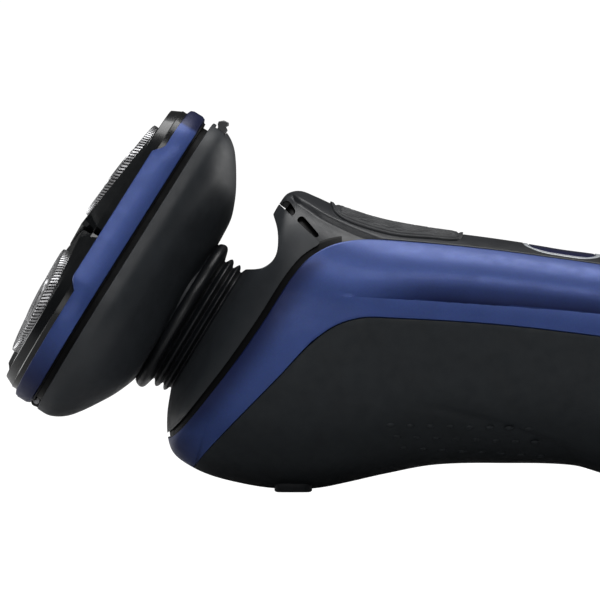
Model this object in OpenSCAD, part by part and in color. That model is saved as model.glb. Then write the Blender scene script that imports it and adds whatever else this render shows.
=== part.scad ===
// Rotary shaver with three floating shaving pods on a tilting neck, lying on its back.
// +X runs from the head to the tail and +Z is up from the surface that it lies on.
// Both sides of the XZ plane are alike. The head has a frame of its own: there +Z is the
// way that the guards face, +X points at the single guard, and 0 is the blue ring's rear edge.

/* [Handle] */
// Length from the middle of the neck opening to the tail
handle_length = 125.4; // [112:0.1:152]
// Greatest depth, from the belly foot to the top of the nose
handle_depth = 60; // [56:0.5:72]
// Greatest width
handle_width = 55; // [50:0.5:66]
// Thickness of the outer shells
shell_wall = 1.8; // [1.4:0.1:2.2]
// Diameter of the neck opening
neck_d = 28.8; // [28:0.1:32]
// Width of the black trim strip above the side band
trim_width = 1.2; // [0.8:0.1:2]
// Size of the belly foot along and across the handle
foot_size = [7.5, 20]; // [6:0.5:24]
// How far the thumb pad stands out of the front cover
pad_rise = 0.3; // [0.1:0.1:0.6]

/* [Head] */
// Angle of the shaving plane to the surface that the shaver lies on
head_tilt = 58.6; // [54:0.1:62]
// Distance from the neck opening to the rear edge of the blue ring
neck_reach = 22.3; // [22:0.1:26]
// Distance from the middle of the ring's length to the neck axis
neck_offset = 2.8; // [2:0.1:3.5]
// Diameter of the head's outline around the single guard
single_lobe_d = 35.2; // [34.8:0.1:38]
// Diameter of the head's outline around each guard of the pair
pair_lobe_d = 37; // [36.4:0.1:40]
// Direction of each guard of the pair, from that of the single guard
pair_angle = 130.4; // [126:0.1:134]
// Height of the blue ring around the lobes
ring_height = 3.8; // [3.4:0.1:4.2]
// Height of the blue ring along its flanks
ring_flank_height = 5.5; // [5:0.1:6]
// Thickness of the blue ring
ring_wall = 0.9; // [0.7:0.1:0.9]
// Gap between the blue ring and the hair chamber
ring_gap = 1; // [0.8:0.1:1.4]
// Wall of the hair chamber
chamber_wall = 1.6; // [1.2:0.1:1.8]
// Furthest that the lid opens
lid_opening = 75; // [45:5:75]

/* [Shaving pods] */
// Diameter of a guard
guard_d = 22.5; // [19:0.1:22.8]
// Height of a guard's working face above the ring's rear edge
guard_height = 9.6; // [9.4:0.1:10.4]
// Outward tilt of each pod
pod_tilt = 6.5; // [3:0.5:7]
// Number of slots in a guard
guard_slots = 40; // [24:1:48]
// Width of a slot
slot_width = 0.45; // [0.3:0.05:0.6]
// Number of blades on a cutter
cutter_blades = 15; // [9:1:18]
// How far a pod sinks when it is pressed
pod_travel = 1; // [0.5:0.1:1]

/* [Drive] */
// Gear module
gear_module = 1; // [0.95:0.01:1]
// Teeth of the drive gear
drive_teeth = 23; // [22:1:23]
// Teeth of each spindle's gear
spindle_teeth = 14; // [13:1:14]
// Thickness of the gears
gear_width = 2.2; // [1.6:0.1:2.4]
// Diameter of a spindle
spindle_d = 3; // [2.6:0.1:3.4]
// Diameter of the motor
motor_d = 24; // [18:0.5:24]
// Length of the motor
motor_length = 28; // [20:0.5:28]
// Diameter of the motor's shaft
shaft_d = 2.3; // [2:0.1:3]

/* [Power] */
// Diameter of the battery cell
cell_d = 18; // [14:0.5:18.5]
// Length of the battery cell
cell_length = 50; // [40:0.5:58]
// Size of the circuit board along and across the handle, and its thickness
board_size = [58, 22, 1.2]; // [1:0.1:62]
// Size of the power button along and across the handle
button_size = [13, 20]; // [10:0.5:22]
// Width of the light ring around the button
light_ring_width = 0.9; // [0.6:0.1:1.4]
// Travel of the power button
button_travel = 0.6; // [0.4:0.1:0.9]
// Size of the charging recess across the tail and up
recess_size = [8.6, 5]; // [4.4:0.1:9]
// Distance between the two charging pins
pin_spacing = 4.2; // [3:0.1:5]
// Diameter of a charging pin
pin_d = 1.2; // [0.8:0.1:1.6]

/* [Fits] */
// Radial clearance of a shaft that runs in a bore
running_gap = 0.05; // [0.03:0.01:0.08]
// Gap between pieces that move past each other
moving_gap = 0.3; // [0.25:0.05:0.35]

/* [Hidden] */
$fn = 64;

// A cut runs this far past the face that it opens
past = 0.5;
// A length that reaches past the whole shaver
beyond = 200;

// Spindles of the head and the centres of its outline
spindle_circle_r = gear_module * (drive_teeth + spindle_teeth) / 2;
spindle_angles = [0, pair_angle, -pair_angle];
lobe_radii = [single_lobe_d, pair_lobe_d, pair_lobe_d] / 2;
function lobe_centre(i) = [-neck_offset + spindle_circle_r * cos(spindle_angles[i]),
    spindle_circle_r * sin(spindle_angles[i])];

// How far the foremost guard stands in front of the neck opening, which centres the shaver on X
head_overhang = (neck_reach + guard_height) * sin(head_tilt)
    + (guard_d / 2 - lobe_centre(1)[0] - neck_offset) * cos(head_tilt);
neck_middle = [(head_overhang - handle_length) / 2, handle_depth * 0.533];

// Directions of the head's own X and Z in side view
head_up = [cos(head_tilt), sin(head_tilt)];
head_out = [-sin(head_tilt), cos(head_tilt)];
head_middle = neck_middle + neck_reach * head_out + neck_offset * head_up;

// Ribs of the handle at a length of 125.4, a depth of 60 and a width of 55: the place of the
// belly end and of the front end of each rib, from the neck opening's middle along X and from
// the resting surface up, and the rib's half width. The ribs fan out around the saddle.
rib_scale = [handle_length / 125.4, handle_depth / 60, handle_width / 55];
rib_table = [
    [-8.1, 15.5, 8.8, 46.2, 17.6],
    [-8, 11, 9.7, 48.2, 20.4],
    [-6.8, 7.6, 10.7, 50.4, 22.4],
    [-3.6, 5.1, 11.9, 53, 24.2],
    [0.8, 3.1, 13.1, 55.4, 25.5],
    [6.6, 1.6, 14.4, 57.6, 26.5],
    [12, 0.7, 16, 59.5, 27.1],
    [17.5, 0.4, 18.6, 60, 27.4],
    [22.5, 0.7, 22, 58.7, 27.5],
    [28, 1.8, 27, 56.5, 27.4],
    [36, 3.6, 35, 54, 27],
    [45.6, 5.3, 44.9, 52.2, 26.2],
    [58.2, 5.6, 58.2, 50.4, 25.2],
    [73.4, 5, 73.4, 48.1, 24.5],
    [86.4, 0.9, 86.4, 46.2, 24.3],
    [94.9, 0, 94.9, 44.8, 24.1],
    [106.9, 0, 106.9, 42.4, 23.2],
    [114.4, 0.4, 114.9, 40, 21.3],
    [120.4, 2.8, 120.9, 35.8, 17.8],
    [123.9, 7.2, 124.1, 30, 13],
    [125.4, 13.5, 125.4, 23, 6.9]];
// The shells' inside stays below the saddle as far as this rib, and ends before the last ribs
saddle_ribs = 9;
saddle_floor = 41;
tail_ribs = 3;
// Points around a rib, and how square the ribs are
rib_points = 36;
rib_power = 2.3;

function scaled(rib) = [
    neck_middle[0] + rib[0] * rib_scale[0], rib[1] * rib_scale[1],
    neck_middle[0] + rib[2] * rib_scale[0], rib[3] * rib_scale[1], rib[4] * rib_scale[2]];
function neck_rib(out) = let (p = neck_middle + out * head_out, e = neck_d / 2 * head_up)
    [p[0] - e[0], p[1] - e[1], p[0] + e[0], p[1] + e[1], neck_d / 2];
outer_ribs = [neck_rib(0), for (rib = rib_table) scaled(rib)];
function lowered(rib, height) = let (t = (height - rib[1]) / (rib[3] - rib[1]))
    [rib[0], rib[1], rib[0] + t * (rib[2] - rib[0]), height, rib[4]];
inner_ribs = [neck_rib(2 * past), neck_rib(0),
    for (i = [1 : 2 : saddle_ribs - 2]) lowered(scaled(rib_table[i]), saddle_floor * rib_scale[1]),
    for (i = [saddle_ribs : len(rib_table) - 1 - tail_ribs]) scaled(rib_table[i])];

// A superellipse between a rib's two ends, grown by a distance and set back towards the neck
function rib_ring(rib, grow, back = 0) =
    let (half = [rib[2] - rib[0], rib[3] - rib[1]] / 2,
        up = half / norm(half),
        mid = [(rib[0] + rib[2]) / 2 - back * up[1], (rib[1] + rib[3]) / 2 + back * up[0]])
    [for (k = [0 : rib_points - 1])
        let (a = 360 * k / rib_points,
            v = round_power(sin(a)) * (norm(half) + grow),
            w = round_power(cos(a)) * (rib[4] + grow))
        [mid[0] + up[0] * v, w, mid[1] + up[1] * v]];
function round_power(v) = sign(v) * pow(abs(v), 2 / rib_power);

// Places on the handle in side view, at its nominal size, moved with its length and depth
function side(x, z) = [neck_middle[0] + x * rib_scale[0], z * rib_scale[1]];
function top_height(x) = lookup(x, [for (rib = outer_ribs) if (rib[2] > side(19, 0)[0]) [rib[2], rib[3]]]);

// A curve through points, with the tangents of a Catmull-Rom spline
curve_steps = 4;
function curve_point(a, b, c, d, t) = 0.5 * (2 * b + (c - a) * t + (2 * a - 5 * b + 4 * c - d) * t * t
    + (3 * b - a - 3 * c + d) * t * t * t);
function curve(p) = let (n = len(p) - 1) [
    for (i = [0 : n - 1]) for (k = [0 : curve_steps - 1])
        curve_point(p[max(i - 1, 0)], p[i], p[i + 1], p[min(i + 2, n)], k / curve_steps),
    p[n]];

// The side band's edges in side view, from the chin to the tail
band_top = curve([side(-12, 10.4), side(-6.4, 11.5), side(2.7, 22.2), side(10.3, 32.7),
    side(16.9, 42.9), side(21.5, 47.5), side(28, 50), side(38.2, 50), side(63.3, 47.4),
    side(97, 41.8), side(130, 31)]);
band_low = curve([side(-3.8, 2), side(-0.6, 7.6), side(13.4, 22.2), side(21.7, 30.7),
    side(28.9, 34.4), side(38.2, 34.6), side(63.3, 32.8), side(97, 28), side(130, 20.5)]);
// The scoop between the neck opening and the nose, from just above the opening's rim
saddle_clearance = 0.1;
saddle = concat([neck_middle + (neck_d / 2 + saddle_clearance) * head_up], curve([side(9.8, 44.3), side(11.4, 44.7),
    side(12.9, 45.8), side(13.8, 47.4), side(14.1, 49.8), side(13.9, 52.4), side(13.1, 55.2)]),
    [side(7, 60), neck_middle + neck_d / 2 * head_up + 3 * head_out]);
// The seam between the neck collar and the front cover
seam = [side(11, 60.6), side(14.3, 57.4), side(23.5, 48.5)];
// The lower edge of the thumb pad, from the nose to the button
pad_edge = curve([side(24.3, 58.5), side(25.2, 55.6), side(28.5, 53.4), side(36.5, 51),
    side(44, 50.3), side(50, 50.1), side(51.3, 53)]);
tail_seam_x = side(113, 0)[0];

// Places along the neck axis, in the head's frame
pivot_z = -18.4;
ball_d = 4.4;
cup_wall = 0.9;
ear_r = 1.9;
ear_thickness = 2;
lug_y = 6.2;
pivot_pin_r = 1.2;
bracket_z = -15;
bracket_thickness = 0.9;
axis_bore_r = 5;
yoke_z = -neck_reach - 2.3;
yoke_thickness = 1.4;
yoke_r = neck_d / 2 - shell_wall - 0.2;
motor_front_z = yoke_z - 0.6;
boss_r = 4;
motor_screw_r = 1;
motor_screw_circle = 8;

// Heights inside the head
lid_hinge = [lobe_centre(1)[0] - lobe_radii[1] + ring_wall, -0.5];
hinge_pin_r = 0.6;
knuckle_r = 1.1;
knuckle_y = [2.6, 3, 6];
hinge_notch = 1.5;
gear_base_top = -10.2;
plate_thickness = 1;
gear_z = gear_base_top + moving_gap;
gear_cover_z = gear_z + gear_width + moving_gap;
spindle_base_z = gear_base_top - plate_thickness + 0.2;
tip_size = 2.2;
tip_z = [1.5, 5];
frame_z = 0.3;
frame_thickness = 1.1;
pod_floor_z = frame_z + frame_thickness + pod_travel + 0.2;
pod_seam = 0.5;
pod_seam_angle = 77;
guard_wall = 0.5;
flange_r = guard_d / 2 + 0.65;
holder_bore_r = guard_d / 2 + 0.2;
socket_r = 2.9;
hub_r = 3.7;
hub_depth = 6.4;
cutter_r = guard_d / 2 - guard_wall - 0.9;
retainer_z = -4.6;
retainer_thickness = 0.8;

// The hair chamber's profile: how far it draws in at each depth behind the ring
chamber_profile = [[-0.4, -ring_gap], [0, -4], [0.5, -6.2], [2, -7.3], [4, -8.3], [6.6, -10.3],
    [9.2, -11.8], [13, -13.4]];
chamber_base = [16, bracket_z];
// The wall slopes, so its hollow is drawn in and raised by a part of its thickness
chamber_skin = 0.6 * chamber_wall;

// Battery, board and button
chassis_start = side(38, 0)[0];
chassis_wall = 1.2;
cell_gap = 0.2;
chassis_floor_z = 9.5 * rib_scale[1];
cell_z = chassis_floor_z + chassis_wall + cell_gap + cell_d / 2;
chassis_half_y = cell_d / 2 + cell_gap + chassis_wall;
board_z = cell_z + cell_d / 2 + 2.4;
board_hole_x = [4, board_size[0] - 4];
board_screw_r = 0.9;
button_x = side(70.8, 0)[0];
button_slope = atan((top_height(button_x - button_size[0] / 2)
    - top_height(button_x + button_size[0] / 2)) / button_size[0]);
button_depth = 1.9;
button_corner = 4.5;
button_stem_r = 1.6;
switch_size = [6, 6, 4];
button_point = [button_x, 0, top_height(button_x)];
switch_x = button_x - (top_height(button_x) - board_z) * sin(button_slope);

// Charging socket in the tail
tail_x = neck_middle[0] + handle_length;
socket_z = side(0, 18.2)[1];
socket_wall = 1.1;
recess_depth = 9;
pin_length = 4.4;
// A pin is thinner where it passes through the socket's floor
pin_shank_d = 0.75 * pin_d;
socket_depth = recess_depth + 1.6;

// Places

module in_head()
    translate([head_middle[0], 0, head_middle[1]])
        rotate([0, -head_tilt, 0])
            children();

module on_neck_axis()
    in_head()
        translate([-neck_offset, 0, 0])
            children();

module at_spindle(i)
    on_neck_axis()
        rotate(spindle_angles[i])
            translate([spindle_circle_r, 0, 0])
                children();

module at_guard(i)
    at_spindle(i)
        translate([0, 0, guard_height])
            rotate([0, pod_tilt, 0])
                children();

module at_button()
    translate(button_point)
        rotate([0, button_slope, 0])
            children();

// Shared shapes

// The convex pieces between neighbouring ribs, joined into the handle's form. Each piece
// bulges a little into the one before it, so that they overlap.
bulge = [0.3, 1.2];
module loft(ribs, grow)
    for (i = [0 : len(ribs) - 2])
        hull()
            polyhedron(concat(rib_ring(ribs[i], grow), rib_ring(ribs[i + 1], grow),
                    rib_ring(ribs[i], grow - (i > 0 ? bulge[1] : 0), i > 0 ? bulge[0] : 0)),
                [for (ring = [0 : 2]) [for (k = [0 : rib_points - 1]) ring * rib_points + k]]);

// A side-view outline carried across the whole width
module across(outline)
    rotate([90, 0, 0])
        linear_extrude(beyond, center = true)
            polygon(outline);

module shell(grow = 0, wall = shell_wall)
    difference() {
        loft(outer_ribs, grow);
        loft(inner_ribs, -wall);
    }

// Everything on the front side of a side-view curve
module above(points, rise = beyond)
    across(concat(points, [[points[len(points) - 1][0], rise], [points[0][0], rise]]));

module below(points)
    across(concat(points, [[points[len(points) - 1][0], -beyond], [points[0][0], -beyond]]));

module behind_tail_seam(from = tail_seam_x)
    translate([from, -beyond / 2, -beyond / 2])
        cube(beyond);

module front_of_seam()
    across(concat([seam[0] + [0, beyond]], seam,
        [[seam[2][0], -beyond], [beyond, -beyond], [beyond, beyond]]));

module lobes(inset = 0)
    hull()
        for (i = [0 : 2])
            translate(lobe_centre(i))
                circle(r = lobe_radii[i] - inset);

module tube(outer_r, inner_r, height)
    difference() {
        cylinder(r = outer_r, h = height);
        translate([0, 0, -past])
            cylinder(r = inner_r, h = height + 2 * past);
    }

// A cylinder along Y, centred
module cross_pin(radius, length)
    rotate([90, 0, 0])
        cylinder(r = radius, h = length, center = true);

// Half of a gear tooth's angle at a radius, from the involute of its base circle
function involute_angle(base_r, r) = r <= base_r ? 0 :
    let (a = acos(base_r / r)) tan(a) * 180 / PI - a;
pressure_angle = 20;
gear_backlash = 0.14;
gear_flank_points = 4;
function tooth(teeth) =
    let (pitch_r = gear_module * teeth / 2, base_r = pitch_r * cos(pressure_angle),
        root_r = pitch_r - 1.1 * gear_module, tip_r = pitch_r + 0.8 * gear_module,
        half = 90 / teeth - gear_backlash * 90 / (PI * pitch_r) + involute_angle(base_r, pitch_r),
        radii = [root_r, for (k = [0 : gear_flank_points]) base_r + (tip_r - base_r) * k / gear_flank_points])
    concat([for (r = radii) [r, -half + involute_angle(base_r, r)]],
        [for (k = [len(radii) - 1 : -1 : 0]) [radii[k], half - involute_angle(base_r, radii[k])]]);
module gear(teeth, height, turn = 0)
    rotate(turn)
        linear_extrude(height)
            polygon([for (n = [0 : teeth - 1]) for (p = tooth(teeth))
                p[0] * [cos(p[1] + 360 * n / teeth), sin(p[1] + 360 * n / teeth)]]);
// Turn of a spindle's gear that brings it into mesh with the drive gear
function mesh_turn(angle) = angle + 180 + (angle * drive_teeth - 180) / spindle_teeth;

// Handle

module front_cover()
    color([0.03, 0.03, 0.04])
        difference() {
            intersection() {
                shell();
                above(band_top);
                front_of_seam();
            }
            above(pad_edge);
            behind_tail_seam();
            at_button()
                button_prism(light_ring_width + moving_gap + running_gap, -beyond / 4, beyond / 4);
        }

module side_band()
    color([0.23, 0.33, 0.6])
        difference() {
            shell();
            above(band_top);
            below(band_low);
            behind_tail_seam();
            at_button()
                button_prism(moving_gap, -beyond / 4, 0);
        }

module trim_strip()
    color([0.02, 0.02, 0.02])
        difference() {
            shell(-0.3);
            above([for (p = band_top) p + trim_width * [-0.83, 0.55]]);
            below(band_top);
            front_of_seam();
        }

module neck_collar()
    color([0.15, 0.16, 0.17])
        difference() {
            shell();
            below([for (p = band_top) p + trim_width * [-0.83, 0.55]]);
            front_of_seam();
            across(saddle);
            on_neck_axis()
                translate([0, 0, -neck_reach - motor_length])
                    cylinder(r = neck_d / 2 - shell_wall, h = motor_length + past);
        }

module rear_grip()
    color([0.13, 0.15, 0.17])
        difference() {
            intersection() {
                shell();
                below(band_low);
            }
            behind_tail_seam();
            foot_block(0);
        }

module foot_block(base)
    translate([side(17.1, 0)[0] - foot_size[0] / 2, -foot_size[1] / 2, base])
        cube([foot_size[0], foot_size[1], 2.4]);

module rest_foot()
    color([0.05, 0.05, 0.05])
        foot_block(0);

module thumb_pad()
    color([0.07, 0.07, 0.08])
        intersection() {
            difference() {
                loft(outer_ribs, pad_rise);
                loft(inner_ribs, -shell_wall);
            }
            above(pad_edge);
        }

module tail_cap()
    color([0.05, 0.05, 0.06])
        difference() {
            intersection() {
                loft(outer_ribs, 0);
                behind_tail_seam();
            }
            translate([tail_x - socket_depth, 0, socket_z])
                socket_body(socket_depth + past);
            translate([tail_seam_x - past, -recess_size[0], socket_z - recess_size[1]])
                cube([tail_x - socket_depth - tail_seam_x + past, 2 * recess_size[0], 2 * recess_size[1]]);
        }

module socket_body(length)
    translate([0, -recess_size[0] / 2 - socket_wall, -recess_size[1] / 2 - socket_wall])
        cube([length, recess_size[0] + 2 * socket_wall, recess_size[1] + 2 * socket_wall]);

module charge_socket()
    color([0.02, 0.02, 0.02])
        translate([tail_x - socket_depth, 0, socket_z])
            difference() {
                socket_body(socket_depth);
                translate([socket_depth - recess_depth, -recess_size[0] / 2, -recess_size[1] / 2])
                    cube([recess_depth + past, recess_size[0], recess_size[1]]);
                for (y = [-1, 1] * pin_spacing / 2)
                    translate([-past, y, 0])
                        rotate([0, 90, 0])
                            cylinder(d = pin_shank_d, h = socket_depth);
            }

module charge_pins()
    color([0.8, 0.8, 0.78])
        for (y = [-1, 1] * pin_spacing / 2)
            translate([tail_x - recess_depth, y, socket_z])
                rotate([0, 90, 0])
                    union() {
                        cylinder(d = pin_d, h = pin_length);
                        translate([0, 0, recess_depth - socket_depth - 1])
                            cylinder(d = pin_shank_d, h = socket_depth - recess_depth + 1.5);
                    }

// Power button

module button_outline(grow)
    offset(r = button_corner + grow)
        square([button_size[0] - 2 * button_corner, button_size[1] - 2 * button_corner], center = true);

module button_prism(grow, from, to)
    translate([0, 0, from])
        linear_extrude(to - from)
            button_outline(grow);

module power_button()
    color([0.04, 0.05, 0.13])
        at_button()
            union() {
                button_prism(0, -button_depth, -0.1);
                translate([0, 0, -(button_point[2] - board_z - switch_size[2]) + button_travel + 0.4])
                    cylinder(r = button_stem_r, h = button_point[2] - board_z - switch_size[2] - button_depth);
            }

module button_light_ring()
    color([0.85, 0.88, 0.92])
        at_button()
            difference() {
                button_prism(light_ring_width + moving_gap, -button_depth, 0);
                button_prism(moving_gap, -button_depth - past, past);
            }

// Neck, motor and drive shaft

module neck_yoke()
    color([0.2, 0.2, 0.22])
        on_neck_axis()
            difference() {
                union() {
                    translate([0, 0, yoke_z])
                        cylinder(r = yoke_r, h = yoke_thickness);
                    for (y = [-1, 1] * (lug_y + 1.5 * ear_thickness + moving_gap)) {
                        translate([-ear_r, y - ear_thickness / 2, yoke_z])
                            cube([2 * ear_r, ear_thickness, pivot_z - yoke_z]);
                        translate([0, y, pivot_z])
                            cross_pin(ear_r, ear_thickness);
                    }
                }
                translate([0, 0, yoke_z - past])
                    cylinder(r = axis_bore_r, h = yoke_thickness + 2 * past);
                translate([0, 0, pivot_z])
                    cross_pin(pivot_pin_r, beyond);
                for (y = [-1, 1] * motor_screw_circle)
                    translate([y, 0, yoke_z - past])
                        cylinder(r = motor_screw_r, h = yoke_thickness + 2 * past);
            }

module pivot_pins()
    color([0.75, 0.75, 0.76])
        on_neck_axis()
            for (side = [-1, 1])
                translate([0, side * (lug_y + ear_thickness + moving_gap / 2), pivot_z])
                    cross_pin(pivot_pin_r, 2 * ear_thickness + moving_gap);

module bellows()
    color([0.06, 0.06, 0.07])
        on_neck_axis()
            rotate_extrude()
                polygon(bellows_profile);
// Radius and height along the folds, outside first and then back up the inside
bellows_profile = [[15.2, bracket_z], [16.4, -16.5], [16.4, -17.1], [13.6, -18.1], [14.7, -18.9],
    [14.7, -19.4], [13.5, -20], [14.5, -20.7], [14.5, -21.2], [13.4, -21.7], [14.2, -neck_reach],
    [12.4, -neck_reach], [12.4, -18], [14.4, -16.8], [14.4, bracket_z]];

module motor_can()
    color([0.7, 0.7, 0.72])
        on_neck_axis()
            translate([0, 0, motor_front_z - motor_length])
                difference() {
                    union() {
                        cylinder(d = motor_d, h = motor_length);
                        cylinder(r = boss_r, h = motor_length + 1);
                    }
                    translate([0, 0, -past])
                        cylinder(d = shaft_d + 2 * running_gap, h = motor_length + 2 * past + 1);
                    for (x = [-1, 1] * motor_screw_circle)
                        translate([x, 0, motor_length - 3])
                            cylinder(r = motor_screw_r, h = 3 + past);
                }

module motor_end_cap()
    color([0.12, 0.12, 0.13])
        on_neck_axis()
            translate([0, 0, motor_front_z - motor_length - 1.8])
                difference() {
                    cylinder(d = motor_d - 2, h = 1.8);
                    translate([0, 0, 0.8])
                        cylinder(d = shaft_d + 2 * running_gap, h = 1 + past);
                }

module motor_screws()
    color([0.6, 0.6, 0.6])
        on_neck_axis()
            for (x = [-1, 1] * motor_screw_circle)
                translate([x, 0, motor_front_z - 2.6])
                    union() {
                        cylinder(r = motor_screw_r, h = 2.6 + yoke_z - motor_front_z + yoke_thickness);
                        translate([0, 0, 2.6 + yoke_z - motor_front_z + yoke_thickness])
                            cylinder(r = 1.8, h = 1);
                    }

module motor_shaft()
    color([0.78, 0.78, 0.8])
        on_neck_axis()
            translate([0, 0, motor_front_z - motor_length - 0.9])
                cylinder(d = shaft_d, h = pivot_z - ball_d / 2 + 0.4 - motor_front_z + motor_length + 0.9);

module drive_ball()
    color([0.85, 0.84, 0.8])
        on_neck_axis()
            translate([0, 0, pivot_z])
                difference() {
                    sphere(d = ball_d);
                    translate([0, 0, -ball_d])
                        cylinder(d = shaft_d, h = ball_d / 2 + 0.4);
                }

// Inside the handle

module chassis()
    color([0.16, 0.16, 0.18])
        difference() {
            translate([chassis_start, -chassis_half_y, chassis_floor_z])
                cube([board_size[0], 2 * chassis_half_y, board_z - chassis_floor_z]);
            translate([chassis_start + chassis_wall, 0, cell_z])
                rotate([0, 90, 0])
                    cylinder(d = cell_d + 2 * cell_gap, h = cell_length + 3);
            translate([chassis_start + chassis_wall, -cell_d / 2 + 1, cell_z])
                cube([cell_length + 3, cell_d - 2, board_z]);
            for (x = board_hole_x)
                for (y = [-1, 1] * (board_size[1] / 2 - 1.7))
                    translate([chassis_start + x, y, board_z - 3])
                        cylinder(r = board_screw_r, h = 3 + past);
        }

module battery_cell()
    color([0.2, 0.45, 0.35])
        translate([chassis_start + chassis_wall + 1.5, 0, cell_z])
            rotate([0, 90, 0])
                cylinder(d = cell_d, h = cell_length);

module battery_tabs()
    color([0.8, 0.78, 0.7])
        for (x = [chassis_start + chassis_wall + 0.9, chassis_start + chassis_wall + 1.5 + cell_length])
            translate([x, -2.5, cell_z - 4])
                cube([0.6, 5, board_z - cell_z + 3.6]);

module circuit_board()
    color([0.1, 0.35, 0.2])
        difference() {
            translate([chassis_start, -board_size[1] / 2, board_z])
                cube(board_size);
            for (x = board_hole_x)
                for (y = [-1, 1] * (board_size[1] / 2 - 1.7))
                    translate([chassis_start + x, y, board_z - past])
                        cylinder(r = board_screw_r, h = board_size[2] + 2 * past);
        }

module board_screws()
    color([0.6, 0.6, 0.6])
        for (x = board_hole_x)
            for (y = [-1, 1] * (board_size[1] / 2 - 1.7))
                translate([chassis_start + x, y, board_z - 2.6])
                    union() {
                        cylinder(r = board_screw_r, h = 2.6 + board_size[2]);
                        translate([0, 0, 2.6 + board_size[2]])
                            cylinder(r = 1.6, h = 0.9);
                    }

module button_switch()
    color([0.3, 0.3, 0.32])
        translate([switch_x, 0, board_z + board_size[2]])
            union() {
                translate([-switch_size[0] / 2, -switch_size[1] / 2, 0])
                    cube([switch_size[0], switch_size[1], switch_size[2] - 1.8]);
                cylinder(r = 1.5, h = switch_size[2] - 1.2);
            }

module status_lamps()
    color([0.9, 0.95, 1])
        for (y = [-7, 0, 7])
            translate([switch_x + 7, y - 0.8, board_z + board_size[2]])
                cube([2, 1.6, 0.8]);

// Head

module chamber_body(inset, rise)
    for (i = [0 : len(chamber_profile) - 2])
        hull() {
            chamber_slice(chamber_profile[i], inset, rise);
            chamber_slice(chamber_profile[i + 1], inset, rise);
            translate([-neck_offset, 0, chamber_base[1] + rise])
                cylinder(r = chamber_base[0] - inset, h = 0.4);
        }

module chamber_slice(level, inset, rise)
    translate([0, 0, level[1] + rise - 0.02])
        linear_extrude(0.02)
            lobes(level[0] + inset);

module hair_chamber()
    color([0.17, 0.18, 0.2])
        in_head()
            difference() {
                chamber_body(0, 0);
                chamber_body(chamber_skin, chamber_skin);
                translate([-neck_offset, 0, bracket_z - past])
                    cylinder(r = axis_bore_r, h = chamber_wall + 2 * past);
                // Room for the lid's swing and for the hinge
                translate([lid_hinge[0] - 4, -20, -ring_gap - 0.7])
                    cube([4.8, 40, 2]);
                translate([lid_hinge[0] - knuckle_r - moving_gap, -knuckle_y[2] - 0.4, -ring_gap - hinge_notch])
                    cube([2 * knuckle_r + 2 * moving_gap + 1, 2 * knuckle_y[2] + 0.8, 2 * hinge_notch]);
                // Slot for the release button
                translate([29, -release_width / 2 - moving_gap, release_z - release_height / 2 - moving_gap])
                    cube([8, release_width + 2 * moving_gap, release_height + 2 * moving_gap]);
            }

release_width = 9;
release_height = 2;
release_z = -3.6;
release_tab_x = 35.4;
release_inner_x = 31.2;
catch_x = 28;
catch_thickness = 1.5;
module release_button()
    color([0.45, 0.46, 0.48])
        in_head()
            union() {
                translate([release_inner_x, -release_width / 2, release_z - release_height / 2])
                    cube([release_tab_x - release_inner_x, release_width, release_height]);
                translate([release_tab_x - 1.4, -release_width / 2, release_z - release_height / 2])
                    rotate([0, 20, 0])
                        cube([1.2, release_width, release_height + 1]);
            }

module pivot_bracket()
    color([0.2, 0.2, 0.22])
        on_neck_axis()
            difference() {
                union() {
                    translate([0, 0, bracket_z - bracket_thickness])
                        cylinder(r = 12, h = bracket_thickness);
                    for (y = [-1, 1] * (lug_y + ear_thickness / 2)) {
                        translate([-ear_r, y - ear_thickness / 2, pivot_z])
                            cube([2 * ear_r, ear_thickness, bracket_z - pivot_z - bracket_thickness / 2]);
                        translate([0, y, pivot_z])
                            cross_pin(ear_r, ear_thickness);
                    }
                }
                translate([0, 0, bracket_z - bracket_thickness - past])
                    cylinder(r = axis_bore_r, h = bracket_thickness + 2 * past);
                translate([0, 0, pivot_z])
                    cross_pin(pivot_pin_r + running_gap, beyond);
            }

module gear_base()
    color([0.75, 0.75, 0.72])
        difference() {
            in_head()
                translate([0, 0, gear_base_top - plate_thickness])
                    linear_extrude(plate_thickness)
                        lobes(12.4);
            on_neck_axis()
                translate([0, 0, gear_base_top - plate_thickness - past])
                    cylinder(r = axis_bore_r, h = plate_thickness + 2 * past);
            for (i = [0 : 2])
                at_spindle(i)
                    translate([0, 0, spindle_base_z - running_gap])
                        cylinder(d = spindle_d + 2 * running_gap, h = plate_thickness + past);
        }

module gear_cover()
    color([0.12, 0.12, 0.13])
        difference() {
            union() {
                in_head()
                    translate([0, 0, gear_cover_z])
                        linear_extrude(plate_thickness)
                            lobes(6.4);
                for (i = [0 : 2])
                    at_spindle(i)
                        translate([0, 0, gear_cover_z])
                            cylinder(d = spindle_d + 3.4, h = 4.4);
            }
            for (i = [0 : 2])
                at_spindle(i)
                    translate([0, 0, gear_cover_z - past])
                        cylinder(d = spindle_d + 2 * running_gap, h = 4.4 + 2 * past);
        }

module lid_hinge_bracket()
    color([0.14, 0.14, 0.15])
        in_head()
            difference() {
                union() {
                    translate([lid_hinge[0], 0, lid_hinge[1]])
                        cross_pin(knuckle_r, 2 * knuckle_y[0]);
                    translate([lid_hinge[0] - knuckle_r, -knuckle_y[0], -ring_gap - hinge_notch])
                        cube([2 * knuckle_r, 2 * knuckle_y[0], lid_hinge[1] + ring_gap + hinge_notch]);
                }
                translate([lid_hinge[0], 0, lid_hinge[1]])
                    cross_pin(hinge_pin_r, beyond);
            }

module lid_hinge_pin()
    color([0.75, 0.75, 0.76])
        in_head()
            translate([lid_hinge[0], 0, lid_hinge[1]])
                cross_pin(hinge_pin_r, 2 * knuckle_y[2]);

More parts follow.
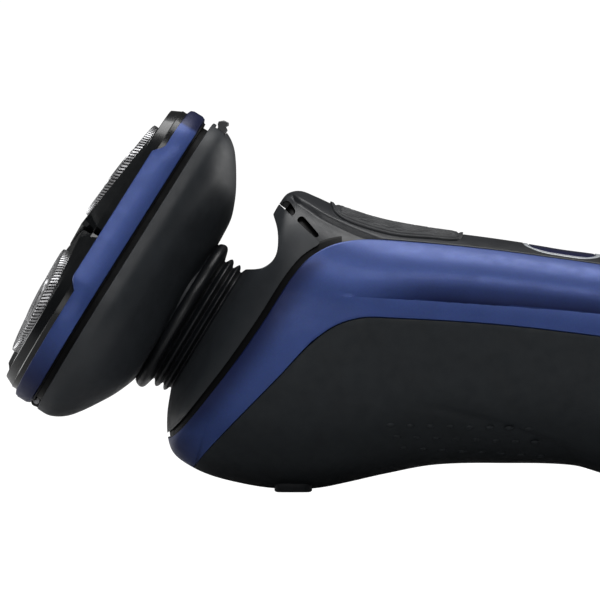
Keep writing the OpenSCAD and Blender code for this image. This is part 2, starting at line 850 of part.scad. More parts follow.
module drive_gear()
    color([0.88, 0.87, 0.82])
        on_neck_axis()
            difference() {
                union() {
                    translate([0, 0, gear_z])
                        gear(drive_teeth, gear_width);
                    translate([0, 0, pivot_z - 1.6])
                        cylinder(d = ball_d + 2 * moving_gap + 2 * cup_wall, h = gear_z - pivot_z + 1.6 + gear_width / 2);
                }
                translate([0, 0, pivot_z - 1.6 - past])
                    cylinder(d = ball_d + 2 * moving_gap, h = 1.6 + past + ball_d / 2 + moving_gap);
            }

module spindle(i)
    color([0.86, 0.85, 0.8])
        at_spindle(i)
            union() {
                translate([0, 0, spindle_base_z])
                    cylinder(d = spindle_d, h = tip_z[0] - spindle_base_z);
                translate([0, 0, gear_z])
                    rotate(-spindle_angles[i])
                        gear(spindle_teeth, gear_width, mesh_turn(spindle_angles[i]));
                translate([-tip_size / 2, -tip_size / 2, tip_z[0]])
                    cube([tip_size, tip_size, tip_z[1] - tip_z[0]]);
            }

// Lid

flank_step = [[24.1, 22.1], [-9.1, -7.1]];
module blue_ring()
    color([0.25, 0.36, 0.66])
        in_head()
            difference() {
                intersection() {
                    linear_extrude(ring_flank_height)
                        lobes();
                    across([[-beyond, 0], [beyond, 0], [beyond, ring_height], [flank_step[0][0], ring_height],
                        [flank_step[0][1], ring_flank_height], [flank_step[1][1], ring_flank_height],
                        [flank_step[1][0], ring_height], [-beyond, ring_height]]);
                }
                translate([0, 0, -past])
                    linear_extrude(ring_flank_height + 2 * past)
                        lobes(ring_wall);
                translate([lid_hinge[0] - 3, -knuckle_y[2] - 0.2, -past])
                    cube([6, 2 * knuckle_y[2] + 0.4, past + lid_hinge[1] + knuckle_r + 0.1]);
            }

module head_frame()
    color([0.04, 0.04, 0.05])
        in_head()
            difference() {
                union() {
                    translate([0, 0, frame_z])
                        linear_extrude(frame_thickness)
                            lobes(ring_wall);
                    translate([catch_x, -release_width / 2, release_z])
                        cube([catch_thickness, release_width, frame_z + frame_thickness / 2 - release_z]);
                }
                for (i = [0 : 2])
                    translate([lobe_centre(i)[0], lobe_centre(i)[1], frame_z - past])
                        cylinder(r = 11, h = frame_thickness + 2 * past);
                translate([lid_hinge[0] - 3, -knuckle_y[2] - 0.2, frame_z - past])
                    cube([3 + knuckle_r + 0.6, 2 * knuckle_y[2] + 0.4, frame_thickness + 2 * past]);
            }

module lid_hinge_leaf()
    color([0.14, 0.14, 0.15])
        in_head()
            difference() {
                for (side = [-1, 1])
                    translate([0, side * (knuckle_y[1] + knuckle_y[2]) / 2, 0])
                        union() {
                            translate([lid_hinge[0], 0, lid_hinge[1]])
                                cross_pin(knuckle_r, knuckle_y[2] - knuckle_y[1]);
                            translate([lid_hinge[0], -(knuckle_y[2] - knuckle_y[1]) / 2, lid_hinge[1]])
                                cube([knuckle_r + 0.6, knuckle_y[2] - knuckle_y[1], frame_z + frame_thickness - lid_hinge[1]]);
                        }
                translate([lid_hinge[0], 0, lid_hinge[1]])
                    cross_pin(hinge_pin_r + running_gap, beyond);
            }

// A pod's share of the head's outline: the single pod's sector spreads the seam angle each way
module pod_sector(i)
    translate([-neck_offset, 0])
        polygon(i == 0 ? [[pod_seam, 0], beyond * [cos(pod_seam_angle), -sin(pod_seam_angle)], [beyond, -beyond],
                [beyond, beyond], beyond * [cos(pod_seam_angle), sin(pod_seam_angle)]]
            : let (s = sign(spindle_angles[i])) [[-pod_seam, s * pod_seam / 2],
                [-pod_seam, 0] + beyond * [cos(pod_seam_angle), s * sin(pod_seam_angle)],
                [-beyond, s * beyond], [-beyond, s * pod_seam / 2]]);

module pod_outline(i, inset)
    intersection() {
        lobes(inset);
        pod_sector(i);
    }

pod_inset = ring_wall + 0.25;
// Draw-in and height of the edge between a pod's two facets
pod_facet = [2.7, 6.7];
pod_rim = 1.1;
pod_crown = -0.55;
module pod_holder(i)
    color([0.03, 0.03, 0.035])
        difference() {
            hull() {
                in_head()
                    translate([0, 0, pod_floor_z])
                        linear_extrude(ring_flank_height - 0.5 - pod_floor_z)
                            pod_outline(i, pod_inset);
                in_head()
                    translate([0, 0, pod_facet[1] - 0.1])
                        linear_extrude(0.1)
                            pod_outline(i, pod_facet[0]);
                at_guard(i)
                    translate([0, 0, pod_crown - 0.1])
                        cylinder(r = holder_bore_r + pod_rim, h = 0.1, $fn = 48);
            }
            at_guard(i) {
                translate([0, 0, -2.4 - past])
                    cylinder(r = holder_bore_r, h = beyond / 10);
                translate([0, 0, -2.4 - beyond / 10])
                    cylinder(r = flange_r, h = beyond / 10);
            }
        }

module guard(i)
    color([0.8, 0.8, 0.82])
        at_guard(i)
            difference() {
                rotate_extrude()
                    polygon(guard_profile);
                for (n = [0 : guard_slots - 1])
                    rotate(n * 360 / guard_slots)
                        translate([guard_d / 4, -slot_width / 2, -1.5])
                            cube([guard_d / 4 + 1, slot_width, 1.5 + past]);
            }
guard_r = guard_d / 2;
guard_cap_r = guard_d * 0.22;
guard_profile = [[0, 0.8], [guard_cap_r - 0.6, 0.7], [guard_cap_r, 0.1], [guard_cap_r + 0.3, 0],
    [guard_r - 0.5, 0], [guard_r, -0.5], [guard_r, -2.5], [flange_r - 0.05, -2.5], [flange_r - 0.05, -3.2],
    [guard_r - guard_wall, -3.2], [guard_r - guard_wall, -guard_wall - 0.1],
    [guard_cap_r, -guard_wall], [0, -guard_wall]];

module cutter_retainer(i)
    color([0.8, 0.55, 0.2])
        at_guard(i)
            difference() {
                translate([0, 0, retainer_z])
                    tube(flange_r - 0.3, hub_r + 0.6, retainer_thickness);
                for (n = [0 : 2])
                    rotate(60 + 120 * n)
                        translate([flange_r * 0.66, 0, retainer_z - past])
                            cylinder(r = 2.4, h = retainer_thickness + 2 * past);
            }

module cutter(i)
    color([0.72, 0.73, 0.75])
        at_guard(i)
            difference() {
                union() {
                    translate([0, 0, -2.6])
                        cylinder(r = cutter_r, h = 0.8);
                    translate([0, 0, -hub_depth])
                        cylinder(r = hub_r, h = hub_depth - 2);
                    for (n = [0 : cutter_blades - 1])
                        rotate(n * 360 / cutter_blades)
                            translate([cutter_r - 3, -0.25, -2])
                                cube([2.9, 0.5, 1.1]);
                }
                translate([0, 0, -hub_depth - past])
                    cylinder(r = socket_r, h = 3.6 + past);
            }

front_cover();
side_band();
neck_collar();
rear_grip();
trim_strip();
thumb_pad();
button_light_ring();
rest_foot();
tail_cap();
charge_socket();
charge_pins();
neck_yoke();
pivot_pins();
bellows();
motor_can();
motor_end_cap();
motor_screws();
chassis();
battery_cell();
battery_tabs();
circuit_board();
board_screws();
button_switch();
status_lamps();
motor_shaft();
drive_ball();
power_button();
hair_chamber();
pivot_bracket();
gear_base();
gear_cover();
lid_hinge_bracket();
lid_hinge_pin();
drive_gear();
spindle(0);  // spindle_1
spindle(1);  // spindle_2
spindle(2);  // spindle_3
release_button();
blue_ring();
head_frame();
lid_hinge_leaf();
pod_holder(0);  // pod_holder_1
pod_holder(1);  // pod_holder_2
pod_holder(2);  // pod_holder_3
guard(0);  // guard_1
guard(1);  // guard_2
guard(2);  // guard_3
cutter_retainer(0);  // cutter_retainer_1
cutter_retainer(1);  // cutter_retainer_2
cutter_retainer(2);  // cutter_retainer_3
cutter(0);  // cutter_1
cutter(1);  // cutter_2
cutter(2);  // cutter_3
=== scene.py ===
"""A rotary shaver lying on its back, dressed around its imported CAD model.

Lengths are in millimetres and become metres where a mesh is made. Side-view places on the
handle are (x, z), with x counted from the middle of the neck opening and z from the floor.
The head has a frame of its own: Z the way that the guards face, X towards the single guard.
"""
import math

import bmesh
import bpy
import numpy as np
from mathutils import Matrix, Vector
from mathutils.bvhtree import BVHTree


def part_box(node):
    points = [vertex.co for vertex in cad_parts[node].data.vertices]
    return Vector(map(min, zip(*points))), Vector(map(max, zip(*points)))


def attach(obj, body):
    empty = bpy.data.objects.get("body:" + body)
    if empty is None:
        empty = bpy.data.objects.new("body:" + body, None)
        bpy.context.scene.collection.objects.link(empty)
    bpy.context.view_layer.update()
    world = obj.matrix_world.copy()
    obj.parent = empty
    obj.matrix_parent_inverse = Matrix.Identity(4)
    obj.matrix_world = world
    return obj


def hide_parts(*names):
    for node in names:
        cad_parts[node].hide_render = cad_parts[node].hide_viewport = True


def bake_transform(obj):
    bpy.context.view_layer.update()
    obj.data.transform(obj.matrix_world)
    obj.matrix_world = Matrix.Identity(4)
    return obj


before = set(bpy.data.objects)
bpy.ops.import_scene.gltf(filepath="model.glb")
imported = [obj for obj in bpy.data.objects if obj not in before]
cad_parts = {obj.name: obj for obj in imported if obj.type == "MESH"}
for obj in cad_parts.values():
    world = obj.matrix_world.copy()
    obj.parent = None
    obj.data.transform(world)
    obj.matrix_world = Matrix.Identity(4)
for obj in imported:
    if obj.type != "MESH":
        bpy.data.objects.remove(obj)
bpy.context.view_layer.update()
MM = 0.001

# ---------------------------------------------------------------- places, from the frame

HANDLE_LENGTH = 125.4
HEAD_TILT = math.radians(58.6)
NECK_REACH = 22.3
NECK_OFFSET = 2.8
NECK_D = 28.8
TAIL_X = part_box("tail_cap")[1][0] / MM
NECK = np.array([TAIL_X - HANDLE_LENGTH, 31.98])
UP = np.array([math.cos(HEAD_TILT), math.sin(HEAD_TILT)])
OUT = np.array([-math.sin(HEAD_TILT), math.cos(HEAD_TILT)])
HEAD = NECK + NECK_REACH * OUT + NECK_OFFSET * UP
TAIL_SEAM = 113


def side(*points):
    """Side-view places counted from the neck, moved into the frame."""
    return [np.array([NECK[0] + x, z]) for x, z in points]


def in_head(p):
    """A point of the head's own frame, in the row frame."""
    p = np.asarray(p, float)
    xz = HEAD + p[..., 0:1] * UP + p[..., 2:3] * OUT
    return np.stack([xz[..., 0], p[..., 1], xz[..., 1]], axis=-1)


# ---------------------------------------------------------------- camera, light and floor

VIEW_MIDDLE = np.array([-24.6, 38.2])
VIEW_WIDTH = 120
CAMERA_DISTANCE = 1300
SENSOR = 36


def make_camera():
    data = bpy.data.cameras.new("camera")
    data.sensor_width = SENSOR
    data.lens = SENSOR * CAMERA_DISTANCE / VIEW_WIDTH
    data.clip_start = 0.05
    camera = bpy.data.objects.new("camera", data)
    camera.location = Vector((VIEW_MIDDLE[0], -CAMERA_DISTANCE, VIEW_MIDDLE[1])) * MM
    camera.rotation_euler = (math.pi / 2, 0, 0)
    bpy.context.scene.collection.objects.link(camera)
    bpy.context.scene.camera = camera


def make_light(name, place, target, size, watts):
    data = bpy.data.lights.new(name, "AREA")
    data.shape = "RECTANGLE"
    data.size = size[0] * MM
    data.size_y = size[1] * MM
    data.energy = watts
    light = bpy.data.objects.new(name, data)
    light.location = Vector(place) * MM
    aim = Vector(target) - Vector(place)
    light.rotation_euler = aim.to_track_quat("-Z", "Y").to_euler()
    bpy.context.scene.collection.objects.link(light)


def make_world(strength, shown):
    world = bpy.data.worlds.new("studio")
    world.use_nodes = True
    tree = world.node_tree
    tree.nodes.clear()
    path = tree.nodes.new("ShaderNodeLightPath")
    lit = tree.nodes.new("ShaderNodeBackground")
    lit.inputs["Strength"].default_value = strength
    seen = tree.nodes.new("ShaderNodeBackground")
    seen.inputs["Color"].default_value = (1, 1, 1, 1)
    seen.inputs["Strength"].default_value = shown
    mix = tree.nodes.new("ShaderNodeMixShader")
    out = tree.nodes.new("ShaderNodeOutputWorld")
    tree.links.new(path.outputs["Is Camera Ray"], mix.inputs[0])
    tree.links.new(lit.outputs[0], mix.inputs[1])
    tree.links.new(seen.outputs[0], mix.inputs[2])
    tree.links.new(mix.outputs[0], out.inputs[0])
    bpy.context.scene.world = world


make_camera()
bpy.context.scene.view_settings.view_transform = "Standard"

# ---------------------------------------------------------------- materials


def node_material(name, colour, rough, metallic=0.0, spread=0.12, grain=220.0, bump=0.02,
                  coat=0.0, blotch=18.0, flake=0.0, specular=0.5, painted_shade=False):
    """A moulded, painted or plated surface: blotches of colour and gloss over a fine grain, multiplied where
    asked by a per-vertex painted shade.
    """
    mat = bpy.data.materials.new(name)
    mat.use_nodes = True
    tree = mat.node_tree
    shader = tree.nodes["Principled BSDF"]
    shader.inputs["Metallic"].default_value = metallic
    shader.inputs["Coat Weight"].default_value = coat
    shader.inputs["Coat Roughness"].default_value = 0.08
    shader.inputs["Specular IOR Level"].default_value = specular
    place = tree.nodes.new("ShaderNodeTexCoord")
    scale = tree.nodes.new("ShaderNodeMapping")
    scale.inputs["Scale"].default_value = (1 / MM / 100,) * 3
    tree.links.new(place.outputs["Object"], scale.inputs["Vector"])

    def noise(size, detail=4.0):
        n = tree.nodes.new("ShaderNodeTexNoise")
        n.inputs["Scale"].default_value = size
        n.inputs["Detail"].default_value = detail
        tree.links.new(scale.outputs["Vector"], n.inputs["Vector"])
        return n.outputs["Fac"]

    def spread_over(fac, low, high):
        m = tree.nodes.new("ShaderNodeMapRange")
        m.inputs["From Min"].default_value = 0.3
        m.inputs["From Max"].default_value = 0.7
        m.inputs["To Min"].default_value = low
        m.inputs["To Max"].default_value = high
        tree.links.new(fac, m.inputs["Value"])
        return m.outputs["Result"]

    def tinted(fac, low, high):
        c = tree.nodes.new("ShaderNodeMix")
        c.data_type = "RGBA"
        c.inputs["A"].default_value = (*low, 1)
        c.inputs["B"].default_value = (*high, 1)
        tree.links.new(fac, c.inputs["Factor"])
        return c.outputs["Result"]

    dark = [c * (1 - spread) for c in colour]
    light = [min(1, c * (1 + spread)) for c in colour]
    base = tinted(spread_over(noise(blotch), 0.0, 1.0), dark, light)
    if flake:
        specks = tree.nodes.new("ShaderNodeTexVoronoi")
        specks.inputs["Scale"].default_value = grain * 1.5
        tree.links.new(scale.outputs["Vector"], specks.inputs["Vector"])
        sparkle = tree.nodes.new("ShaderNodeMix")
        sparkle.data_type = "RGBA"
        sparkle.blend_type = "OVERLAY"
        sparkle.inputs["Factor"].default_value = flake
        tree.links.new(base, sparkle.inputs["A"])
        tree.links.new(specks.outputs["Color"], sparkle.inputs["B"])
        base = sparkle.outputs["Result"]
    # Painted shade: a per-vertex colour multiplied into the base, darkening it where the surface turns from
    # the light.
    if painted_shade:
        attribute = tree.nodes.new("ShaderNodeAttribute")
        attribute.attribute_name = "painted_shade"
        shade = tree.nodes.new("ShaderNodeMix")
        shade.data_type = "RGBA"
        shade.blend_type = "MULTIPLY"
        shade.inputs["Factor"].default_value = 1.0
        tree.links.new(base, shade.inputs["A"])
        tree.links.new(attribute.outputs["Color"], shade.inputs["B"])
        base = shade.outputs["Result"]
    tree.links.new(base, shader.inputs["Base Color"])
    tree.links.new(spread_over(noise(blotch * 2.3), rough * 0.88, min(1, rough * 1.12)),
                   shader.inputs["Roughness"])
    if bump:
        b = tree.nodes.new("ShaderNodeBump")
        b.inputs["Strength"].default_value = 0.6
        b.inputs["Distance"].default_value = bump * MM
        tree.links.new(noise(grain, 2.0), b.inputs["Height"])
        tree.links.new(b.outputs["Normal"], shader.inputs["Normal"])
    return mat


MATERIALS = {
    "gloss_black": dict(colour=(0.008, 0.009, 0.010), rough=0.24, coat=0.12, specular=0.42, bump=0.004),
    # The satin blue is multiplied by the per-vertex painted shade of the band and the ring.
    "satin_blue": dict(colour=(0.046, 0.086, 0.30), rough=0.42, metallic=0.35, coat=0.04, specular=0.4,
                       bump=0.006, flake=0.06, spread=0.05, painted_shade=True),
    "matte_charcoal": dict(colour=(0.025, 0.029, 0.034), rough=0.48, bump=0.015),
    "cover_charcoal": dict(colour=(0.024, 0.026, 0.03), rough=0.36, specular=0.3, bump=0.012),
    "grip_black": dict(colour=(0.013, 0.017, 0.021), rough=0.62, bump=0.03, grain=160.0, specular=0.42),
    "latch_black": dict(colour=(0.03, 0.032, 0.036), rough=0.35, bump=0.01),
    "pad_rubber": dict(colour=(0.024, 0.026, 0.03), rough=0.55, bump=0.02, specular=0.42),
    "light_ring": dict(colour=(0.72, 0.76, 0.8), rough=0.25, coat=0.4, bump=0.004, spread=0.04),
    "trim_black": dict(colour=(0.0015, 0.0015, 0.002), rough=0.5, bump=0.01, specular=0.12),
    "inner_black": dict(colour=(0.008, 0.008, 0.009), rough=0.5, bump=0.02),
    "plated_metal": dict(colour=(0.75, 0.74, 0.7), rough=0.24, metallic=1.0, bump=0.006),
    "steel": dict(colour=(0.55, 0.55, 0.57), rough=0.3, metallic=1.0, bump=0.008),
    "bellows_rubber": dict(colour=(0.007, 0.008, 0.010), rough=0.36, bump=0.008, specular=0.4),
    "cell_wrap": dict(colour=(0.05, 0.22, 0.12), rough=0.32, bump=0.01),
    "board_green": dict(colour=(0.02, 0.12, 0.05), rough=0.42, bump=0.02),
    "gear_plastic": dict(colour=(0.72, 0.7, 0.62), rough=0.42, bump=0.012),
    "button_navy": dict(colour=(0.006, 0.010, 0.075), rough=0.14, coat=0.6, bump=0.003),
    "button_grey": dict(colour=(0.2, 0.21, 0.23), rough=0.28, metallic=0.6, bump=0.006),
    "guard_steel": dict(colour=(0.5, 0.5, 0.51), rough=0.34, metallic=1.0, bump=0.004),
    "retainer_amber": dict(colour=(0.6, 0.3, 0.06), rough=0.4, bump=0.012),
}
made = {}


def material(name):
    if name not in made:
        made[name] = node_material(name, **MATERIALS[name])
    return made[name]


# ---------------------------------------------------------------- mesh helpers


def new_piece(name, points, faces, finish, sharp=35, painted_shades=None):
    """A mesh piece in millimetres of the row frame, shaded smooth up to an angle."""
    mesh = bpy.data.meshes.new(name)
    mesh.from_pydata([tuple(float(v) * MM for v in p) for p in points], [], faces)
    # Per-vertex painted shade, which materials that ask for it multiply into their colour.
    if painted_shades is not None:
        layer = mesh.color_attributes.new("painted_shade", "FLOAT_COLOR", "POINT")
        for k, t in enumerate(painted_shades):
            layer.data[k].color = (*t, 1)
    obj = bpy.data.objects.new(name, mesh)
    bpy.context.scene.collection.objects.link(obj)
    tidy(obj, sharp)
    mesh.materials.append(material(finish))
    return obj


def tidy(obj, sharp, weld=0.004):
    """Welds doubles, drops faces left inside the middle plane and sets the sharp edges."""
    bm = bmesh.new()
    bm.from_mesh(obj.data)
    bmesh.ops.remove_doubles(bm, verts=bm.verts, dist=weld * MM)
    bmesh.ops.dissolve_degenerate(bm, edges=bm.edges, dist=weld * MM)
    inner = [f for f in bm.faces if all(abs(v.co.y) < weld * MM for v in f.verts)]
    bmesh.ops.delete(bm, geom=inner, context="FACES")
    loose = [v for v in bm.verts if not v.link_faces]
    bmesh.ops.delete(bm, geom=loose, context="VERTS")
    bmesh.ops.recalc_face_normals(bm, faces=bm.faces)
    bm.to_mesh(obj.data)
    bm.free()
    obj.data.polygons.foreach_set("use_smooth", [True] * len(obj.data.polygons))
    obj.data.set_sharp_from_angle(angle=math.radians(sharp))


def ring_faces(rows, width, closed=True, start=0):
    """Quads between successive rows of points."""
    faces = []
    for r in range(rows - 1):
        for k in range(width if closed else width - 1):
            a, b = start + r * width + k, start + r * width + (k + 1) % width
            faces.append((a, b, b + width, a + width))
    return faces


def lofted(rows, closed=True, caps=True):
    """Points and faces of successive rings, closed by a cap at each end."""
    width = len(rows[0])
    points = [p for row in rows for p in row]
    faces = ring_faces(len(rows), width, closed)
    if caps:
        faces.append(tuple(range(width))[::-1])
        faces.append(tuple((len(rows) - 1) * width + k for k in range(width)))
    return points, faces


def prism(outline, y0=-60, y1=60):
    """A side-view outline carried across the width, as a cutter."""
    return cutter(*lofted([[(p[0], y, p[1]) for p in outline] for y in (y0, y1)]))


def cutter(points, faces):
    mesh = bpy.data.meshes.new("cutter")
    mesh.from_pydata([tuple(float(v) * MM for v in p) for p in points], [], faces)
    bm = bmesh.new()
    bm.from_mesh(mesh)
    bmesh.ops.recalc_face_normals(bm, faces=bm.faces)
    bm.to_mesh(mesh)
    bm.free()
    obj = bpy.data.objects.new("cutter", mesh)
    bpy.context.scene.collection.objects.link(obj)
    return obj


def carve(obj, tool, operation="DIFFERENCE", sharp=35):
    """Applies an exact boolean and removes the tool."""
    step = obj.modifiers.new("carve", "BOOLEAN")
    step.operation = operation
    step.solver = "EXACT"
    step.object = tool
    bpy.context.view_layer.update()
    graph = bpy.context.evaluated_depsgraph_get()
    mesh = bpy.data.meshes.new_from_object(obj.evaluated_get(graph))
    obj.modifiers.clear()
    old = obj.data
    obj.data = mesh
    bpy.data.meshes.remove(old)
    bpy.data.objects.remove(tool)
    mesh.polygons.foreach_set("use_smooth", [True] * len(mesh.polygons))
    mesh.set_sharp_from_angle(angle=math.radians(sharp))


def spline(points, steps=8):
    """A Catmull-Rom curve through points."""
    p = np.asarray(points, float)
    out = []
    for i in range(len(p) - 1):
        a, b, c, d = p[max(i - 1, 0)], p[i], p[i + 1], p[min(i + 2, len(p) - 1)]
        for k in range(steps):
            t = k / steps
            out.append(0.5 * (2 * b + (c - a) * t + (2 * a - 5 * b + 4 * c - d) * t * t
                              + (3 * b - a - 3 * c + d) * t ** 3))
    out.append(p[-1])
    return np.array(out)


# ---------------------------------------------------------------- the handle's form

# Place of each rib's belly end and front end, and its half width
RIBS = [
    (-8.1, 15.5, 8.8, 46.2, 17.6), (-8, 11, 9.7, 48.2, 20.4), (-6.8, 7.6, 10.7, 50.4, 22.4),
    (-3.6, 5.1, 11.9, 53, 24.2), (0.8, 3.1, 13.1, 55.4, 25.5), (6.6, 1.6, 14.4, 57.6, 26.5),
    (12, 0.7, 16, 59.5, 27.1), (17.5, 0.4, 18.6, 60, 27.4), (22.5, 0.7, 22, 58.7, 27.5),
    (28, 1.8, 27, 56.5, 27.4), (36, 3.6, 35, 54, 27), (45.6, 5.3, 44.9, 52.2, 26.2),
    (58.2, 5.6, 58.2, 50.4, 25.2), (73.4, 5, 73.4, 48.1, 24.5), (86.4, 0.9, 86.4, 46.2, 24.3),
    (94.9, 0, 94.9, 44.8, 24.1), (106.9, 0, 106.9, 42.4, 23.2), (114.4, 0.4, 114.9, 40, 21.3),
    (120.4, 2.8, 120.9, 35.8, 17.8), (123.9, 7.2, 124.1, 30, 13), (125.4, 13.5, 125.4, 23, 6.9)]
RIB_POWER = 2.3
opening = NECK_D / 2
TABLE = np.array([(-opening * UP[0], NECK[1] - opening * UP[1], opening * UP[0],
                   NECK[1] + opening * UP[1], opening)] + list(RIBS))
TABLE[:, [0, 2]] += NECK[0]


def rib(u):
    """The rib at each station: 0 is the neck opening and each whole number a rib of the table."""
    u = np.atleast_1d(np.asarray(u, float))
    i = np.clip(np.floor(u).astype(int), 0, len(TABLE) - 2)
    t = (u - i)[:, None]
    a, b = TABLE[np.maximum(i - 1, 0)], TABLE[i]
    c, d = TABLE[i + 1], TABLE[np.minimum(i + 2, len(TABLE) - 1)]
    return 0.5 * (2 * b + (c - a) * t + (2 * a - 5 * b + 4 * c - d) * t ** 2
                  + (3 * b - a - 3 * c + d) * t ** 3)


def bare(u, phi):
    """The form's surface at stations and turns from -90 degrees at the belly to 90 at the front."""
    r = rib(u)
    s = np.sign(np.sin(phi)) * np.abs(np.sin(phi)) ** (2 / RIB_POWER)
    w = np.abs(np.cos(phi)) ** (2 / RIB_POWER) * np.sign(np.cos(phi))
    x = (r[:, 0] + r[:, 2]) / 2 + s * (r[:, 2] - r[:, 0]) / 2
    z = (r[:, 1] + r[:, 3]) / 2 + s * (r[:, 3] - r[:, 1]) / 2
    return np.stack([x, -w * r[:, 4], z], axis=-1)


def surface(u, phi, lift=0.0):
    """The form's surface, moved out along its normal."""
    e = 1e-3
    du = bare(np.minimum(u + e, len(TABLE) - 1), phi) - bare(np.maximum(u - e, 0), phi)
    dp = bare(u, phi + e) - bare(u, phi - e)
    n = np.cross(du, dp)
    n /= np.maximum(np.linalg.norm(n, axis=1, keepdims=True), 1e-12)
    middle = rib(u)
    centre = np.stack([(middle[:, 0] + middle[:, 2]) / 2, 0 * middle[:, 0],
                       (middle[:, 1] + middle[:, 3]) / 2], axis=-1)
    p = bare(u, phi)
    flip = np.sign(np.sum(n * (p - centre), axis=1, keepdims=True))
    return p + n * np.where(flip == 0, 1, flip) * np.reshape(lift, (-1, 1))


def crossing(u, curve, missing):
    """The turn at which the rib of each station meets a side-view curve."""
    result = np.zeros(len(u))
    a, b = curve[:-1], curve[1:]
    for k, r in enumerate(rib(u)):
        low, run = r[0:2], r[2:4] - r[0:2]
        edge = b - a
        det = run[0] * -edge[:, 1] + run[1] * edge[:, 0]
        d = a - low
        with np.errstate(divide="ignore", invalid="ignore"):
            t = (d[:, 0] * -edge[:, 1] + d[:, 1] * edge[:, 0]) / det
            v = (run[0] * d[:, 1] - run[1] * d[:, 0]) / det
        hits = t[(v >= -1e-9) & (v <= 1 + 1e-9) & (t > -1.5) & (t < 2.5)]
        s = missing if len(hits) == 0 else 2 * hits.min() - 1
        s = min(1, max(-1, s))
        result[k] = math.copysign(math.asin(abs(s) ** (RIB_POWER / 2)), s)
    return result


def station(x):
    """The station whose rib has its front end at a side-view x."""
    u = np.linspace(0, len(TABLE) - 1, 2001)
    return float(np.interp(x, rib(u)[:, 2], u))


def patch(name, u, low, high, rows, finish, push=None, thickness=1.2, lip=0.22, gap=0.06,
          sharp=40, painted_shade=None, fold=None):
    """A shell between two turns at each station, with rounded edges where it ends short of
    the middle plane. push gives a lift for each place, and fold is a turn that the shell steps at."""
    half = math.pi / 2
    free_low = low > -half + 1e-4
    free_high = high < half - 1e-4
    girth = np.maximum(rib(u)[:, 4], 4)
    points, faces = [], []
    span = high - low
    lip_turn = np.minimum(lip / girth, span / 3)
    gap_turn = np.minimum(gap / girth, span / 4)
    lo = low + gap_turn * free_low
    hi = high - gap_turn * free_high
    columns, lifts = [], []
    for step, drop in ((0, 1.0), (0.3, 0.3), (1, 0.0)):
        columns.append(lo + step * lip_turn * free_low)
        lifts.append(-lip * drop * free_low)
    start_turn, stop_turn = lo + lip_turn * free_low, hi - lip_turn * free_high
    if fold is None:
        for k in range(1, rows):
            columns.append(start_turn * (1 - k / rows) + stop_turn * k / rows)
            lifts.append(0 * lo)
    else:
        below = rows // 3
        step = FOLD_WIDTH / girth
        fold = np.clip(fold, start_turn + 0.1 * (stop_turn - start_turn),
                       stop_turn - 0.2 * (stop_turn - start_turn))
        for k in range(1, below + 1):
            columns.append(start_turn * (1 - k / below) + fold * k / below)
            lifts.append(0 * lo)
        above = rows - below
        for k in range(above):
            columns.append((fold + step) * (1 - k / above) + stop_turn * k / above)
            lifts.append(0 * lo)
    for step, drop in ((1, 0.0), (0.3, 0.3), (0, 1.0)):
        columns.append(hi - step * lip_turn * free_high)
        lifts.append(-lip * drop * free_high)
    outer, inner = [], []
    for phi, lift in zip(columns, lifts):
        flat = bare(u, phi)
        extra = push(flat[:, 0], flat[:, 2], u, phi, lo, hi) if push else 0
        for row, depth in ((outer, lift + extra), (inner, extra - thickness)):
            place = surface(u, phi, depth)
            place[:, 2] = np.maximum(place[:, 2], 0)
            row.append(place)
    loop = np.stack(outer + inner[::-1], axis=1)
    width = loop.shape[1]
    for mirror in (1, -1):
        start = len(points)
        points.extend((loop * [1, mirror, 1]).reshape(-1, 3))
        faces.extend(ring_faces(len(u), width, True, start))
        for r in (0, len(u) - 1):
            faces.append(tuple(start + r * width + k for k in range(width)))
    # The painted shade for each point of the shell, when one is given.
    painted_shades = [painted_shade(p) for p in points] if painted_shade else None
    return new_piece(name, points, faces, finish, sharp, painted_shades)


BAND_TOP = spline(side((-12, 10.4), (-6.4, 11.5), (2.7, 22.2), (10.3, 32.7), (16.9, 42.9),
                       (21.5, 47.5), (28, 50), (38.2, 50), (63.3, 47.4), (97, 41.8), (130, 31)))
BAND_LOW = spline(side((-3.8, 2), (-0.6, 7.6), (13.4, 22.2), (21.7, 30.7), (28.9, 34.4),
                       (38.2, 34.6), (63.3, 32.8), (97, 28), (130, 20.5)))
TRIM_WIDTH = 1.2
TRIM_SIDE = np.array([-0.83, 0.55])
TRIM_EDGE = BAND_TOP + TRIM_WIDTH * TRIM_SIDE
SEAM = np.array(side((11, 60.6), (14.3, 57.4), (23.5, 48.5)))
SADDLE = spline([NECK + opening * UP] + side((9.8, 44.3), (11.4, 44.7), (12.9, 45.8),
                                             (13.8, 47.4), (14.1, 49.8), (13.9, 52.4), (13.1, 55.2)))
PAD_EDGE = spline(side((24.3, 58.5), (25.2, 55.6), (28.5, 53.4), (36.5, 51), (44, 50.3),
                       (50, 50.1), (51.3, 53)))
CREASE = spline(side((22, 39.9), (30.5, 38.8), (42, 38.1), (60, 36.9), (78.5, 35.3), (97, 32.6),
                     (130, 26)))
SHOULDER = spline(side((17, 59.4), (20.3, 57.4), (23.2, 55.5), (27.5, 53.4), (31.2, 51.8),
                       (35.3, 50.4)))
END_U = station(TAIL_X - HANDLE_LENGTH + TAIL_SEAM)
# Stations per rib, and how far a shell's fold takes to step
FINE = 8
FOLD_WIDTH = 0.06


def stations(first, last, per_rib=FINE):
    return np.linspace(first, last, max(2, int(round((last - first) * per_rib)) + 1))


def smooth(t):
    t = np.clip(t, 0, 1)
    return t * t * (3 - 2 * t)


def sunk(depth):
    """A push by the same depth everywhere."""
    return lambda x, *place: 0 * x - depth


def height_over(curve, x, z):
    """How far a place stands above a side-view curve."""
    return z - np.interp(x, curve[:, 0], curve[:, 1])


# ---------------------------------------------------------------- handle shells


SCOOP_DEPTH, SCOOP_HEIGHT = 2.3, 9.5


def band_push(x, z, *place):
    """The scoop above the crease, deepest right at it, so that its foot faces down."""
    over = height_over(CREASE, x, z)
    reach = smooth((x - NECK[0] - 24) / 30)
    above = np.clip(1 - over / SCOOP_HEIGHT, 0, 1) ** 2
    return -SCOOP_DEPTH * reach * np.where(over > 0.01, above, 0)


